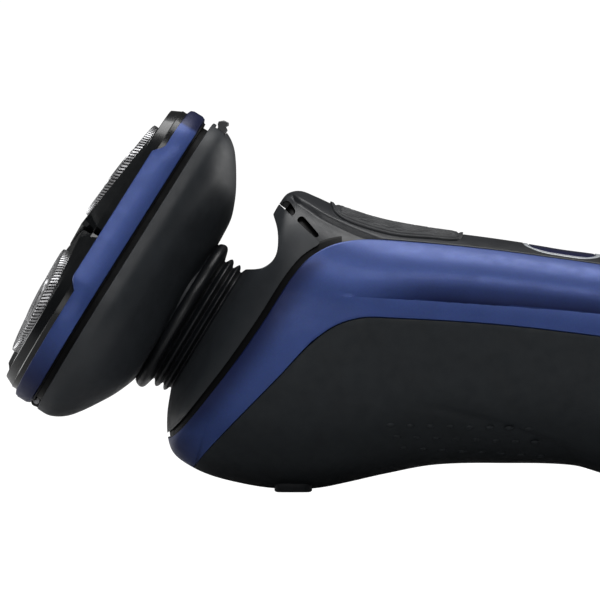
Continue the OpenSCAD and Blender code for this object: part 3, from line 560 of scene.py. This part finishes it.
def band_painted_shade(p):
    """Painted shade for the band: darkest along its front edge, where it turns under the neck, low down
    towards its front end, and in the scoop just above the crease.
    """
    x, _, z = p
    ahead = x - float(np.interp(z, BAND_TOP[:60, 1], BAND_TOP[:60, 0]))
    lower = 1 - float(smooth((z - 8) / 9))
    f = (1 - float(smooth((ahead - 0.4) / 7))) * (1 - float(smooth((z - 44) / 4))) * (1 - lower)
    over = float(height_over(CREASE, x, z))
    reach = float(smooth((x + 14) / 18))
    shade = reach * max(0, 1 - over / 7) ** 1.5 if over > 0 else 0.0
    # Painted shade: the darkest of the front edge, the low front end and the scoop above the crease.
    f = max(f * 0.86, 0.8 * lower * (1 - float(smooth((x + 50) / 8))), 0.9 * shade)
    return tuple(1 - f * (1 - c) for c in (0.07, 0.1, 0.22))


def make_band():
    u = stations(1.2, END_U, 12)
    low = crossing(u, BAND_LOW, -1)
    high = np.maximum(crossing(u, BAND_TOP, 1), low)
    share = (crossing(u, CREASE, 0) - low) / np.maximum(high - low, 1e-6)
    first = int(np.argmax((rib(u)[:, 2] > CREASE[0][0] + 6) & (share > 0.1)))
    share[:first] = share[first]
    # The band's colour carries painted shade along its front edge, at its low front end and above the crease.
    obj = patch("side_band_shell", u, low, high, 60, "satin_blue", band_push,
                thickness=1.0, lip=0.3, painted_shade=band_painted_shade, fold=low + share * (high - low))
    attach(obj, "handle")
    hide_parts("side_band")


def make_trim():
    end_u = station(SEAM[-1][0])
    u = stations(1.0, end_u + 0.6, 10)
    low = crossing(u, BAND_TOP - 0.5 * TRIM_WIDTH * TRIM_SIDE, -1)
    high = crossing(u, TRIM_EDGE + 0.7 * TRIM_WIDTH * TRIM_SIDE, -1)
    obj = patch("neck_trim_strip", u, low, np.maximum(high, low), 4, "trim_black",
                sunk(0.45), thickness=1.2, lip=0.05, gap=0)
    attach(obj, "handle")
    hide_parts("trim_strip")


SWOOSH = spline([(-6, 18.2), (-4.3, 18), (2.7, 17), (8.3, 15.6), (15.3, 13.8), (22.3, 11.3),
                 (27.9, 8.8), (32.2, 5.6)])


def grip_push(x, z, *place):
    """The grip steps in under a long curved edge."""
    under = -height_over(SWOOSH, x, z)
    along = smooth((x + 6) / 16) * (1 - smooth((x - 26) / 8))
    width = 0.4 + 1.8 * smooth((x + 5) / 30)
    return -0.55 * along * np.where(under > 0, np.exp(-(under / width) ** 2),
                                    np.exp(-((under / 0.25) ** 2)))


def make_grip():
    u = stations(2.5, END_U, 12)
    half = math.pi / 2
    high = crossing(u, BAND_LOW, -1)
    obj = patch("rear_grip_shell", u, np.full(len(u), -half), high, 56, "grip_black", grip_push,
                thickness=1.6, lip=0.25)
    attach(obj, "handle")
    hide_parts("rear_grip")


def form_tree():
    """The whole outer form, to cast rays at."""
    u = stations(0, len(TABLE) - 1, FINE)
    turns = np.linspace(-math.pi / 2, 1.5 * math.pi, 97)[:-1]
    return lofted([bare(np.full(len(turns), k), turns) for k in u])


FORM = form_tree()
TREE = BVHTree.FromPolygons([Vector(p) for p in FORM[0]], FORM[1])


def on_side(x, z):
    """The near side's surface at a side-view place: the point and its outward normal."""
    hit, normal, _, _ = TREE.ray_cast(Vector((x, -80, z)), Vector((0, 1, 0)))
    if hit is None:
        return None
    normal = np.array(normal)
    return np.array(hit), normal if normal[1] < 0 else -normal


def cover_push(x, z, *place):
    """The flank below the shoulder lies a little deeper than the top."""
    under = -height_over(SHOULDER, x, z)
    along = smooth((x - NECK[0] - 15.5) / 2) * (1 - smooth((x - NECK[0] - 30) / 8))
    pad = (smooth((x - PAD_EDGE[0][0] - 0.5) / 0.5) * smooth((PAD_EDGE[-1][0] - 0.5 - x) / 0.5)
           * smooth((height_over(PAD_EDGE, x, z) - 0.5) / 0.5))
    return -0.9 * along * smooth(under / 0.8) - 0.45 * pad


SEAM_GAP = np.array([0.04, 0.08])


def make_cover():
    start = station(SEAM[1][0]) - 0.35
    u = stations(start, END_U, 22)
    low = np.maximum(crossing(u, BAND_TOP, -1), crossing(u, SEAM + SEAM_GAP, -1))
    obj = patch("front_cover_shell", u, low, np.full(len(u), math.pi / 2), 60, "cover_charcoal",
                cover_push, thickness=1.4, lip=0.2)
    carve(obj, button_prism(BUTTON_HOLE, -6, 4), sharp=40)
    for outline in SLOTS:
        for flank in (-1, 1):
            carve(obj, prism(outline, *sorted((flank * 8, flank * 40))), sharp=40)
    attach(obj, "handle")
    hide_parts("front_cover")


def make_slot_floors():
    """Black linings behind the openings beside the seam, and behind the trim's gaps."""
    u = stations(station(SEAM[1][0]) - 1.2, station(SEAM[-1][0]) + 1, 8)
    low = np.maximum(crossing(u, BAND_TOP, -1), crossing(u, SEAM - [0, 3], -1))
    wells = patch("slot_wells", u, low, np.full(len(u), math.pi / 2), 16, "trim_black",
                  sunk(1.6), thickness=1.9, lip=0.02)
    u = stations(1.2, station(SEAM[-1][0]) + 0.3, 10)
    low = crossing(u, BAND_TOP - 2 * TRIM_SIDE, -1)
    high = crossing(u, TRIM_EDGE + 2.5 * TRIM_SIDE, -1)
    lining = patch("trim_lining", u, low, np.maximum(high, low), 4, "trim_black",
                   sunk(1.5), thickness=2.4, lip=0.02)
    for obj in (wells, lining):
        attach(obj, "handle")


def make_tail():
    """The tail cap, smooth to its flat end, with a square hole for the charging socket."""
    u = stations(END_U + 0.02, len(TABLE) - 1, 20)
    turns = np.linspace(-math.pi / 2, 1.5 * math.pi, 145)[:-1]
    rows = [bare(np.full(len(turns), k), turns) for k in u]
    middle = rows[0].mean(axis=0)
    rows.insert(0, rows[0] + (middle - rows[0]) * 0.012)
    for row in rows:
        row[:, 2] = np.maximum(row[:, 2], 0)
    obj = new_piece("tail_cap_shell", *lofted(rows), "gloss_black", sharp=40)
    low, high = (np.array(corner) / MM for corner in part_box("charge_socket"))
    hole = [[(x, low[1], low[2]), (x, high[1], low[2]), (x, high[1], high[2]), (x, low[1], high[2])]
            for x in (low[0], high[0] + 3)]
    carve(obj, cutter(*lofted(hole)), sharp=40)
    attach(obj, "handle")
    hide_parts("tail_cap")


def rounded(a, b, width_a, width_b, steps=6):
    """An outline along a line, with round ends of two widths."""
    a, b = np.array(a, float), np.array(b, float)
    along = (b - a) / np.linalg.norm(b - a)
    turn = math.atan2(along[1], along[0])
    points = []
    for centre, radius, base in ((b, width_b / 2, turn - math.pi / 2), (a, width_a / 2, turn + math.pi / 2)):
        for k in range(steps + 1):
            t = base + math.pi * k / steps
            points.append(centre + radius * np.array([math.cos(t), math.sin(t)]))
    return points


SLOTS = [rounded((-27.3, 56.9), (-26.35, 55.7), 2.0, 1.7),
         rounded((-24.3, 53.9), (-21.4, 51.0), 1.7, 1.0)]


COLLAR_BORE = 12.6


def make_collar():
    """The neck collar: the form between the trim and the seam, scooped out above the neck."""
    seam_z = np.interp(TRIM_EDGE[:, 0], SEAM[:, 0], SEAM[:, 1])
    lower = [p for p, z in zip(TRIM_EDGE, seam_z) if p[0] < SEAM[-1][0] and p[1] < z - 0.2]
    outline = [*SADDLE, *side((13.2, 55.9), (13.5, 56.7), (14.2, 57.35)),
               SEAM[1] * 0.12 + SEAM[2] * 0.88 - [0.1, 0.12], *reversed(lower),
               lower[0] - [10, 0], NECK + 20 * OUT - 10 * UP, SADDLE[0] + 6 * OUT]
    obj = new_piece("neck_collar_shell", FORM[0], FORM[1], "matte_charcoal", sharp=50)
    carve(obj, prism(outline), "INTERSECT", sharp=50)
    bore = [in_head([[-NECK_OFFSET + COLLAR_BORE * math.cos(t), COLLAR_BORE * math.sin(t), depth]
                     for t in np.linspace(0, 2 * math.pi, 65)[:-1]])
            for depth in (-NECK_REACH - 3, -NECK_REACH + 3)]
    carve(obj, cutter(*lofted(bore)), sharp=50)
    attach(obj, "handle")
    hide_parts("neck_collar")


def make_pad():
    """The thumb pad, with a double rim around rows of short ribs."""
    first, last = station(PAD_EDGE[0][0] + 0.1), station(PAD_EDGE[-1][0] - 0.05)
    u = stations(first, last, 60)
    low = crossing(u, PAD_EDGE, 1)
    half = math.pi / 2

    def push(x, z, uu, phi, lo, hi):
        girth = rib(uu)[:, 4]
        rim = np.minimum((phi - lo) * girth * 0.95, np.minimum(x - PAD_EDGE[0][0], PAD_EDGE[-1][0] - x))
        groove = -0.3 * np.exp(-((rim - 1.2) / 0.3) ** 2)
        field = smooth((rim - 2.0) / 0.5)
        row = (half - phi) * girth / 1.05 + 0.25 * np.sin(2 * math.pi * x / 6)
        ribs = (0.5 + 0.5 * np.cos(2 * math.pi * row)) ** 0.7
        dash = 0.5 + 0.5 * np.sin(2 * math.pi * x / 4.2 + np.round(row) * 2.1)
        return 0.42 + groove + field * (0.28 * ribs * (0.35 + 0.65 * smooth(dash * 2.2)) - 0.2)

    obj = patch("thumb_pad_skin", u, low, np.full(len(u), half), 110, "pad_rubber", push,
                thickness=1.5, lip=0.35, sharp=60)
    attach(obj, "handle")
    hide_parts("thumb_pad")


# ---------------------------------------------------------------- power button

button_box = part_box("power_button")
ring_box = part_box("button_light_ring")
BUTTON_SIZE = np.array([button_box[1][0] - button_box[0][0], button_box[1][1] - button_box[0][1]]) / MM
BUTTON_X = (ring_box[0][0] + ring_box[1][0]) / 2 / MM
BUTTON_HALF_Y = BUTTON_SIZE[1] / 2
BUTTON_HALF_X = 6.5
BUTTON_HOLE = 1.3


def top_height(x, y):
    """The form's height above a place."""
    hit = TREE.ray_cast(Vector((x, y, 120)), Vector((0, 0, -1)))[0]
    return hit[2]


BUTTON_CORNER = 4.5


def button_place(part, reach, turn):
    """A place on the button: its outline is a rectangle with rounded corners."""
    half = np.array([BUTTON_HALF_X + reach, BUTTON_HALF_Y + reach])
    corner = BUTTON_CORNER + reach
    d = np.array([math.cos(turn), math.sin(turn)])
    far = min(half[k] / max(abs(d[k]), 1e-9) for k in (0, 1))
    core = half - corner
    if np.all(np.abs(d * far) > core):
        # Where the ray meets the corner's arc
        along = np.abs(d)
        middle = float(along @ core)
        far = middle + math.sqrt(max(0.0, middle ** 2 - float(core @ core) + corner ** 2))
    return BUTTON_X + part * far * d[0], part * far * d[1]


def button_point(reach, turn, lift, part=1.0):
    x, y = button_place(part, reach, turn)
    return (x, y, top_height(x, y) + lift)


def button_prism(reach, low, high):
    return cutter(*lofted([[button_point(reach, t, lift) for t in BUTTON_TURNS] for lift in (low, high)]))


BUTTON_TURNS = np.linspace(0, 2 * math.pi, 121)[:-1]


def make_button():
    fill = [(k / 12 + 0.01, -0.08 - 0.1 * math.exp(-(k / 7) ** 2)) for k in range(12)]
    rows = [[button_point(0, t, lift, part) for t in BUTTON_TURNS]
            for part, lift in fill + [(0.985, -0.1), (1, -0.25), (1, -2.0)]]
    obj = new_piece("power_button_cap", *lofted(rows), "button_navy", sharp=50)
    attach(obj, "power_button")
    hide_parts("power_button")
    section = [(0.25, -2.0), (0.25, -0.1), (0.35, -0.02), (1.0, -0.02), (1.15, -0.12), (1.15, -2.0)]
    rows = [[button_point(reach, t, lift) for t in BUTTON_TURNS] for reach, lift in section + section[:1]]
    obj = new_piece("button_light_ring_band", *lofted(rows, caps=False), "light_ring", sharp=50)
    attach(obj, "handle")
    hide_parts("button_light_ring")


def make_bumps():
    """Small raised dots on the grip, in staggered rows on each flank."""
    points, faces = [], []
    for row in range(3):
        for k in range(8):
            x = -6.8 + 3.9 * k + 1.3 * row
            z = 13.6 - 2.3 * row - 0.12 * k * (1 + 0.5 * row)
            if x > 24.5:
                continue
            hit = on_side(x, z)
            if hit is None:
                continue
            centre, normal = hit
            side_axis = np.cross(normal, [0, 0, 1.0])
            side_axis /= np.linalg.norm(side_axis)
            rise_axis = np.cross(side_axis, normal)
            for mirror in (1, -1):
                start = len(points)
                turns = np.linspace(0, 2 * math.pi, 17)[:-1]
                for ring, lift in ((0.75, -0.1), (0.62, 0.1), (0.38, 0.24), (0.12, 0.29)):
                    for t in turns:
                        around = math.cos(t) * side_axis * 1.25 + math.sin(t) * rise_axis * 0.8
                        points.append((centre + normal * lift + ring * around) * [1, mirror, 1])
                faces.extend(ring_faces(4, 16, True, start))
                faces.append(tuple(start + 48 + k for k in range(16)))
                faces.append(tuple(start + k for k in range(16))[::-1])
    obj = new_piece("grip_dots", points, faces, "grip_black", sharp=60)
    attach(obj, "handle")


# ---------------------------------------------------------------- head outline

GEAR_R = 18.5
PAIR_ANGLE = math.radians(130.4)
LOBES = [(np.array([-NECK_OFFSET + GEAR_R, 0.0]), 17.6),
         (np.array([-NECK_OFFSET + GEAR_R * math.cos(PAIR_ANGLE), GEAR_R * math.sin(PAIR_ANGLE)]), 18.5),
         (np.array([-NECK_OFFSET + GEAR_R * math.cos(PAIR_ANGLE), -GEAR_R * math.sin(PAIR_ANGLE)]), 18.5)]
ARC_STEPS, FLANK_STEPS = 40, 44


def tangent_turn(one, two):
    """The turn at which a straight flank from one lobe to the next leaves and meets them."""
    d = two[0] - one[0]
    return math.atan2(d[1], d[0]) - math.acos((one[1] - two[1]) / np.linalg.norm(d))


def outline(inset=0.0):
    """The head's outline: arcs around the three lobes, joined by straight flanks."""
    points = []
    for i in range(3):
        before, here, after = LOBES[i - 1], LOBES[i], LOBES[(i + 1) % 3]
        start, stop = tangent_turn(before, here), tangent_turn(here, after)
        while stop < start:
            stop += 2 * math.pi
        r = here[1] - inset
        for k in range(ARC_STEPS + 1):
            t = start + (stop - start) * k / ARC_STEPS
            points.append(here[0] + r * np.array([math.cos(t), math.sin(t)]))
        way = np.array([math.cos(stop), math.sin(stop)])
        last, first = here[0] + r * way, after[0] + (after[1] - inset) * way
        for k in range(1, FLANK_STEPS):
            f = k / FLANK_STEPS
            points.append(last * (1 - f) + first * f)
    return np.array(points)


def head_ring(inset, z, round_to=None, share=0.0):
    flat = outline(inset)
    if share:
        centre = np.array([-NECK_OFFSET, 0])
        d = flat - centre
        circle = centre + round_to * d / np.linalg.norm(d, axis=1, keepdims=True)
        flat = flat * (1 - share) + circle * share
    z = np.broadcast_to(z, (len(flat),))
    return np.column_stack([flat, z])


BOWL_END_R, BOWL_MOUTH_R = 16, 12.5


def make_bowl():
    """The hair chamber, smooth from its rim to the neck, where its outline turns round."""
    profile = spline([(0.0, -1.7, 0), (0.0, -4, 0), (0.8, -6.0, 0), (2.2, -7.8, 0), (4.2, -9.4, 0),
                      (6.8, -11.1, 0), (9.6, -12.7, 0), (12.6, -14.0, 0), (14.6, -14.7, 0.1),
                      (16, -14.95, 0.6), (17, -15, 1.0)], 6)
    profile[:, 2] = np.clip(profile[:, 2], 0, 1)
    rim = (1.6, -2.4)
    rows = [head_ring(*rim), head_ring(1.1, -1.75), head_ring(0.2, -1.6)]
    rows += [head_ring(inset, z, BOWL_END_R, share) for inset, z, share in profile]
    rows += [head_ring(17, z, BOWL_MOUTH_R, 1.0) for z in (-15.0, -14.0)]
    rows += [head_ring(inset + 1.4, z + 1.2, BOWL_END_R - 1.4, share)
             for inset, z, share in reversed(profile[7:-4:3])]
    rows.append(head_ring(*rim))
    points, faces = lofted([in_head(r) for r in rows], caps=False)
    obj = new_piece("hair_chamber_bowl", points, faces, "matte_charcoal", sharp=50)
    corners = ((-4.8, -4.9), (4.8, -4.9), (4.8, -2.3), (-4.8, -2.3))
    slot = [in_head([(x, y, z) for y, z in corners]) for x in (30, 38)]
    carve(obj, cutter(*lofted(slot)), sharp=50)
    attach(obj, "head")
    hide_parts("hair_chamber")


RING_LOW, RING_HIGH = 3.8, 5.5
FLANK_FROM, FLANK_TO = -7.1, 22.1
CAP_FROM = 29.7


def ring_top(x):
    rise = np.clip((x - FLANK_FROM + 2) / 2, 0, 1) * np.clip((FLANK_TO + 2 - x) / 2, 0, 1)
    return RING_LOW + (RING_HIGH - RING_LOW) * rise


def ring_row(insets, z):
    """The outline drawn in by a distance of its own at each point."""
    whole = outline()
    flat = whole + (outline(1.0) - whole) * np.reshape(insets, (-1, 1))
    return np.column_stack([flat, z])


def ring_painted_shade(x):
    """Painted shade: the paint is darkened past the cap's edge, where the ring's end turns up away from the
    light, and darkens towards the rounded other end.
    """
    if x > CAP_FROM:
        return (0.06, 0.09, 0.2)
    f = float(smooth((-16 - x) / 15))
    return tuple(1 - f * (1 - c) for c in (0.08, 0.11, 0.22))


def make_ring():
    """The blue ring, stepped along its flanks, with painted shade darkening it past the cap's edge and
    towards the other end.
    """
    x = outline()[:, 0]
    top = ring_top(x)
    bevel = 0.18 + 0.75 * smooth((np.abs(x) - 28.5) / 4)
    corner = [(1, 0), (0.3, 0.3), (0, 1)]
    rows = [head_ring(0.9, 0)]
    rows += [ring_row(part * bevel, rise * bevel) for part, rise in corner]
    rows += [ring_row(part * bevel, top - rise * bevel) for part, rise in reversed(corner)]
    rows += [head_ring(0.9, top), head_ring(0.9, 0)]
    points, faces = lofted([in_head(r) for r in rows], caps=False)
    # Painted shade for each point, from its place along the outline.
    painted_shades = [ring_painted_shade(float(x)) for row in rows for x in row[:, 0]]
    obj = new_piece("blue_ring_band", points, faces, "satin_blue", sharp=40, painted_shades=painted_shades)
    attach(obj, "lid")
    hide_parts("blue_ring")


def make_gap_wall():
    """The dark wall seen through the gap between the ring and the hair chamber."""
    section = [(1.0, 0.4), (1.0, -0.3), (1.9, -0.3), (1.9, -2.7), (2.5, -2.7), (2.5, 0.4), (1.0, 0.4)]
    points, faces = lofted([in_head(head_ring(inset, z)) for inset, z in section], caps=False)
    obj = new_piece("lid_skirt", points, faces, "trim_black", sharp=40)
    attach(obj, "lid")


# ---------------------------------------------------------------- shaving pods

GUARD_HEIGHT = 9.6
GUARD_R = 11.25
POD_TILT = math.radians(6.5)
SEAM_TURN = math.radians(77)
POD_STEPS = 144
SEAM_HALF = 0.5


def at_guard(i, p):
    """A point on guard i's own frame, in the row frame."""
    p = np.asarray(p, float)
    turn = (0, PAIR_ANGLE, -PAIR_ANGLE)[i]
    x = p[..., 0] * math.cos(POD_TILT) + p[..., 2] * math.sin(POD_TILT)
    z = -p[..., 0] * math.sin(POD_TILT) + p[..., 2] * math.cos(POD_TILT) + GUARD_HEIGHT
    x = x + GEAR_R
    y = p[..., 1]
    return in_head(np.stack([x * math.cos(turn) - y * math.sin(turn) - NECK_OFFSET,
                             x * math.sin(turn) + y * math.cos(turn), z], axis=-1))


SLOTS_ROUND = 96
BAR_SHARE = 0.52


def make_guard(i):
    """A steel guard: a rim of fine slanting bars, an inner row of slots and a raised cap."""
    r = GUARD_R
    cap = r * 0.42
    bars = [(r * 0.62, 0.0, 0.2), (r * 0.8, 0.0, 0.3), (r - 0.45, 0.0, 0.55), (r - 0.1, -0.12, 0.75),
            (r, -0.45, 1.0), (r, -1.45, 1.9)]
    points, faces = [], []
    step = 2 * math.pi / SLOTS_ROUND

    def sweep(profile, segments):
        """Turns a profile round the guard's middle."""
        faces.extend(ring_faces(len(profile), segments, True, len(points)))
        for q, z in profile:
            for t in np.linspace(0, 2 * math.pi, segments + 1)[:-1]:
                points.append(at_guard(i, (q * math.cos(t), q * math.sin(t), z)))

    wall = 0.45
    sweep([(0.02, 0.5), (cap * 0.5, 0.49), (cap * 0.85, 0.46), (cap - 0.1, 0.38), (cap, 0.25), (cap, 0.02),
           (r * 0.47, 0.0), (r * 0.62, 0.0), (r * 0.62, -wall), (cap, -wall), (0.02, -wall), (0.02, 0.5)], 72)
    sweep([(r, -1.45), (r, -2.5), (r - wall, -2.5), (r - wall, -1.45), (r, -1.45)], 96)
    for n in range(SLOTS_ROUND):
        start = len(points)
        for q, z, lean in bars:
            for share in (0.0, BAR_SHARE):
                t = (n + share + lean * 0.9) * step
                points.append(at_guard(i, (q * math.cos(t), q * math.sin(t), z)))
                depth = z - (wall if z > -0.3 else 0)
                back = q - (wall if z < -0.1 else 0)
                points.append(at_guard(i, (back * math.cos(t), back * math.sin(t), depth)))
        for k in range(len(bars) - 1):
            a = start + 4 * k
            o0, i0, o1, i1, p0, j0, p1, j1 = range(a, a + 8)
            faces.extend([(o0, o1, p1, p0), (i1, i0, j0, j1), (o0, p0, j0, i0), (o1, i1, j1, p1)])
    obj = new_piece("guard_foil_%d" % (i + 1), points, faces, "guard_steel", sharp=30)
    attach(obj, "pod_%d" % (i + 1))
    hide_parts("guard_%d" % (i + 1))
    return obj


def clip(points, a, b):
    """The part of a convex outline left of the line from a to b."""
    out = []
    n = len(points)
    edge = b - a

    def offset(p):
        return edge[0] * (p[1] - a[1]) - edge[1] * (p[0] - a[0])
    for k in range(n):
        p, q = points[k], points[(k + 1) % n]
        dp, dq = offset(p), offset(q)
        if dp >= 0:
            out.append(p)
        if dp * dq < 0:
            out.append(p + (q - p) * dp / (dp - dq))
    return out


def pod_outline(i, inset):
    """A pod's share of the head's outline."""
    points = list(outline(inset))
    hub = np.array([-NECK_OFFSET, 0.0])
    left = np.array([math.cos(SEAM_TURN), math.sin(SEAM_TURN)])
    right = left * [1, -1]
    if i == 0:
        points = clip(points, hub + [SEAM_HALF, 0] + 200 * left, hub + [SEAM_HALF, 0])
        return clip(points, hub + [SEAM_HALF, 0], hub + [SEAM_HALF, 0] + 200 * right)
    s = 1 if i == 1 else -1
    shift = hub + [-SEAM_HALF, s * SEAM_HALF / 2]
    arm = left if i == 1 else right
    if i == 1:
        points = clip(points, shift, shift + 200 * arm)
        return clip(points, shift + [-200, 0], shift)
    points = clip(points, shift + 200 * arm, shift)
    return clip(points, shift, shift + [-200, 0])


def resampled(points, centre):
    """A convex outline's points at even turns around a centre."""
    points = np.array(points)
    result = []
    nxt = np.roll(points, -1, axis=0)
    for t in np.linspace(0, 2 * math.pi, POD_STEPS + 1)[:-1]:
        d = np.array([math.cos(t), math.sin(t)])
        best = None
        for p, q in zip(points, nxt):
            e = q - p
            det = d[0] * -e[1] + d[1] * e[0]
            if abs(det) < 1e-12:
                continue
            w = p - centre
            far = (w[0] * -e[1] + w[1] * e[0]) / det
            part = (d[0] * w[1] - d[1] * w[0]) / det
            if far > 0 and -1e-9 <= part <= 1 + 1e-9:
                best = far if best is None else max(best, far)
        result.append(centre + d * (best or 0))
    return np.array(result)


POD_INSET = 1.15
FACET_IN, FACET_Z = 2.3, 6.9
CROWN_IN, CROWN_DEPTH = 4.2, -1.3
BORE_R = GUARD_R + 0.2


def make_pod(i):
    """A faceted glossy holder around a guard."""
    centre = LOBES[i][0]
    floor_z, rim_z = 2.6, RING_HIGH - 0.5
    base, inner, top = (resampled(pod_outline(i, inset), centre) for inset in (POD_INSET, FACET_IN, CROWN_IN))
    turns = np.linspace(0, 2 * math.pi, POD_STEPS + 1)[:-1]
    spin = (0, PAIR_ANGLE, -PAIR_ANGLE)[i]

    def flat(points, z):
        return in_head(np.column_stack([points, np.full(len(points), z)]))

    def round_row(radius, z):
        return at_guard(i, [(radius * math.cos(t - spin), radius * math.sin(t - spin), z) for t in turns])

    def crown(points, sink):
        """Points on the guard's tilted plane, below its face."""
        out = points - [-NECK_OFFSET, 0]
        reach = out[:, 0] * math.cos(spin) + out[:, 1] * math.sin(spin) - GEAR_R
        z = GUARD_HEIGHT + sink / math.cos(POD_TILT) - reach * math.tan(POD_TILT)
        return in_head(np.column_stack([points, z]))

    def drawn(points, share):
        """The outline drawn in towards the guard's middle, or out where the share is negative."""
        return points * (1 - share) + centre * share

    rows = [flat(base, floor_z), flat(base, rim_z - 0.15), flat(drawn(base, 0.01), rim_z),
            flat(drawn(inner, -0.005), FACET_Z - 0.08), flat(drawn(inner, 0.005), FACET_Z + 0.03),
            crown(drawn(top, -0.005), CROWN_DEPTH - 0.12), crown(drawn(top, 0.007), CROWN_DEPTH),
            round_row(BORE_R + 0.12, CROWN_DEPTH), round_row(BORE_R, CROWN_DEPTH - 0.1),
            round_row(BORE_R, -2.9), flat(drawn(base, 0.4), floor_z)]
    points, faces = lofted(rows + rows[:1], caps=False)
    obj = new_piece("pod_shell_%d" % (i + 1), points, faces, "gloss_black", sharp=18)
    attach(obj, "pod_%d" % (i + 1))
    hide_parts("pod_holder_%d" % (i + 1))


# ---------------------------------------------------------------- bellows and latch


def make_bellows():
    """The rubber bellows: one deep fold by the head and three fine ones by the collar."""
    folds = spline([(15.6, -14.9), (16.3, -15.6), (16.5, -16.6), (15.9, -17.3), (13.9, -17.9),
                    (13.7, -18.2), (14.5, -18.7), (14.8, -19.15), (14.4, -19.6), (13.6, -19.9),
                    (13.5, -20.15), (14.3, -20.6), (14.6, -20.95), (14.2, -21.35), (13.6, -21.6),
                    (13.5, -21.9), (14.2, -22.2), (14.2, -22.35), (12.6, -22.35)], 4)
    section = [*folds, (12.4, -18.5), (14.2, -16.9), (14.2, -14.9), (15.6, -14.9)]
    turns = np.linspace(0, 2 * math.pi, 129)[:-1]
    rows = [in_head([(-NECK_OFFSET + r * math.cos(t), r * math.sin(t), z) for t in turns])
            for r, z in section]
    points, faces = lofted(rows, caps=False)
    obj = new_piece("neck_bellows", points, faces, "bellows_rubber", sharp=60)
    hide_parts("bellows")
    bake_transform(obj)


def make_latch():
    """The release latch: a hooked tab."""
    hook = np.array([(30.6, -2.9), (33.0, -2.9), (33.5, -2.5), (34.1, -2.4), (34.8, -3.2),
                     (34.9, -4.2), (34.5, -4.4), (34.0, -4.1), (33.6, -4.7), (30.6, -4.7)])
    middle = hook.mean(axis=0)
    rows = [in_head(np.insert(middle + (hook - middle) * grow, 1, y, axis=1))
            for y, grow in ((-4.4, 0.88), (-4.15, 1.0), (4.15, 1.0), (4.4, 0.88))]
    obj = new_piece("release_latch", *lofted(rows), "latch_black", sharp=30)
    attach(obj, "release_button")
    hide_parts("release_button")


def make_foot():
    """The belly foot, a block with rounded corners and a softened lower edge."""
    low, high = (np.array(corner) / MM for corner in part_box("rest_foot"))
    r = 2.2
    rows = []
    for z, draw in ((0.0, 0.6), (0.08, 0.25), (0.35, 0.0), (high[2], 0.0)):
        row = []
        for cx, cy, base in ((high[0] - r, high[1] - r, 0), (low[0] + r, high[1] - r, 90),
                             (low[0] + r, low[1] + r, 180), (high[0] - r, low[1] + r, 270)):
            for k in range(9):
                t = math.radians(base + 90 * k / 8)
                row.append((cx + (r - draw) * math.cos(t), cy + (r - draw) * math.sin(t), z))
        rows.append(row)
    obj = new_piece("belly_foot", *lofted(rows), "pad_rubber", sharp=50)
    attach(obj, "handle")
    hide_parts("rest_foot")


# ---------------------------------------------------------------- carried-over CAD nodes

FINISHES = {
    "gloss_black": ["head_frame", "lid_hinge_leaf", "lid_hinge_bracket"],
    "inner_black": ["charge_socket", "gear_cover", "chassis", "motor_end_cap", "pivot_bracket", "neck_yoke"],
    "plated_metal": ["charge_pins", "battery_tabs"],
    "steel": ["pivot_pins", "motor_can", "motor_screws", "board_screws", "motor_shaft", "lid_hinge_pin",
              "cutter_1", "cutter_2", "cutter_3"],
    "cell_wrap": ["battery_cell"],
    "board_green": ["circuit_board"],
    "gear_plastic": ["drive_ball", "gear_base", "drive_gear", "spindle_1", "spindle_2", "spindle_3"],
    "button_grey": ["button_switch"],
    "light_ring": ["status_lamps"],
    "retainer_amber": ["cutter_retainer_1", "cutter_retainer_2", "cutter_retainer_3"],
}


def dress_cad():
    """Gives every CAD node that stays its finish."""
    for finish, names in FINISHES.items():
        for name in names:
            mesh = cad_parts[name].data
            mesh.materials.clear()
            mesh.materials.append(material(finish))


def make_floor():
    """A plain pale floor that looks white to the camera."""
    reach = 3000 * MM
    corners = [(-reach, -reach, 0), (reach, -reach, 0), (reach, reach, 0), (-reach, reach, 0)]
    mesh = bpy.data.meshes.new("floor")
    mesh.from_pydata(corners, [], [(0, 1, 2, 3)])
    floor = bpy.data.objects.new("floor", mesh)
    bpy.context.scene.collection.objects.link(floor)
    mat = node_material("floor_white", (0.6, 0.6, 0.6), 0.8, bump=0, spread=0.01)
    tree = mat.node_tree
    path = tree.nodes.new("ShaderNodeLightPath")
    share = tree.nodes.new("ShaderNodeMath")
    share.operation = "MULTIPLY"
    share.inputs[1].default_value = 0.93
    glow = tree.nodes.new("ShaderNodeEmission")
    glow.inputs["Strength"].default_value = 1.2
    mix = tree.nodes.new("ShaderNodeMixShader")
    tree.links.new(path.outputs["Is Camera Ray"], share.inputs[0])
    tree.links.new(share.outputs[0], mix.inputs[0])
    tree.links.new(tree.nodes["Principled BSDF"].outputs[0], mix.inputs[1])
    tree.links.new(glow.outputs[0], mix.inputs[2])
    tree.links.new(mix.outputs[0], tree.nodes["Material Output"].inputs["Surface"])
    mesh.materials.append(mat)


make_band()
make_trim()
make_grip()
make_cover()
make_slot_floors()
make_collar()
make_pad()
make_button()
make_bumps()
make_bowl()
make_ring()
make_gap_wall()
for index in range(3):
    make_guard(index)
    make_pod(index)
make_bellows()
make_latch()
make_foot()
make_tail()
dress_cad()
make_floor()

make_world(0.05, 1.05)
make_light("key", (90, -330, 500), (-10, 0, 34), (420, 120), 0.8)
make_light("overhead", (-20, 140, 520), (-20, 0, 40), (500, 240), 1.7)
make_light("front_fill", (-120, -700, 200), (-40, 0, 40), (420, 300), 0.6)
make_light("rim_right", (420, 260, 160), (-20, 0, 40), (260, 300), 0.8)
make_light("rim_left", (-420, 200, 60), (-60, 0, 40), (260, 300), 0.8)
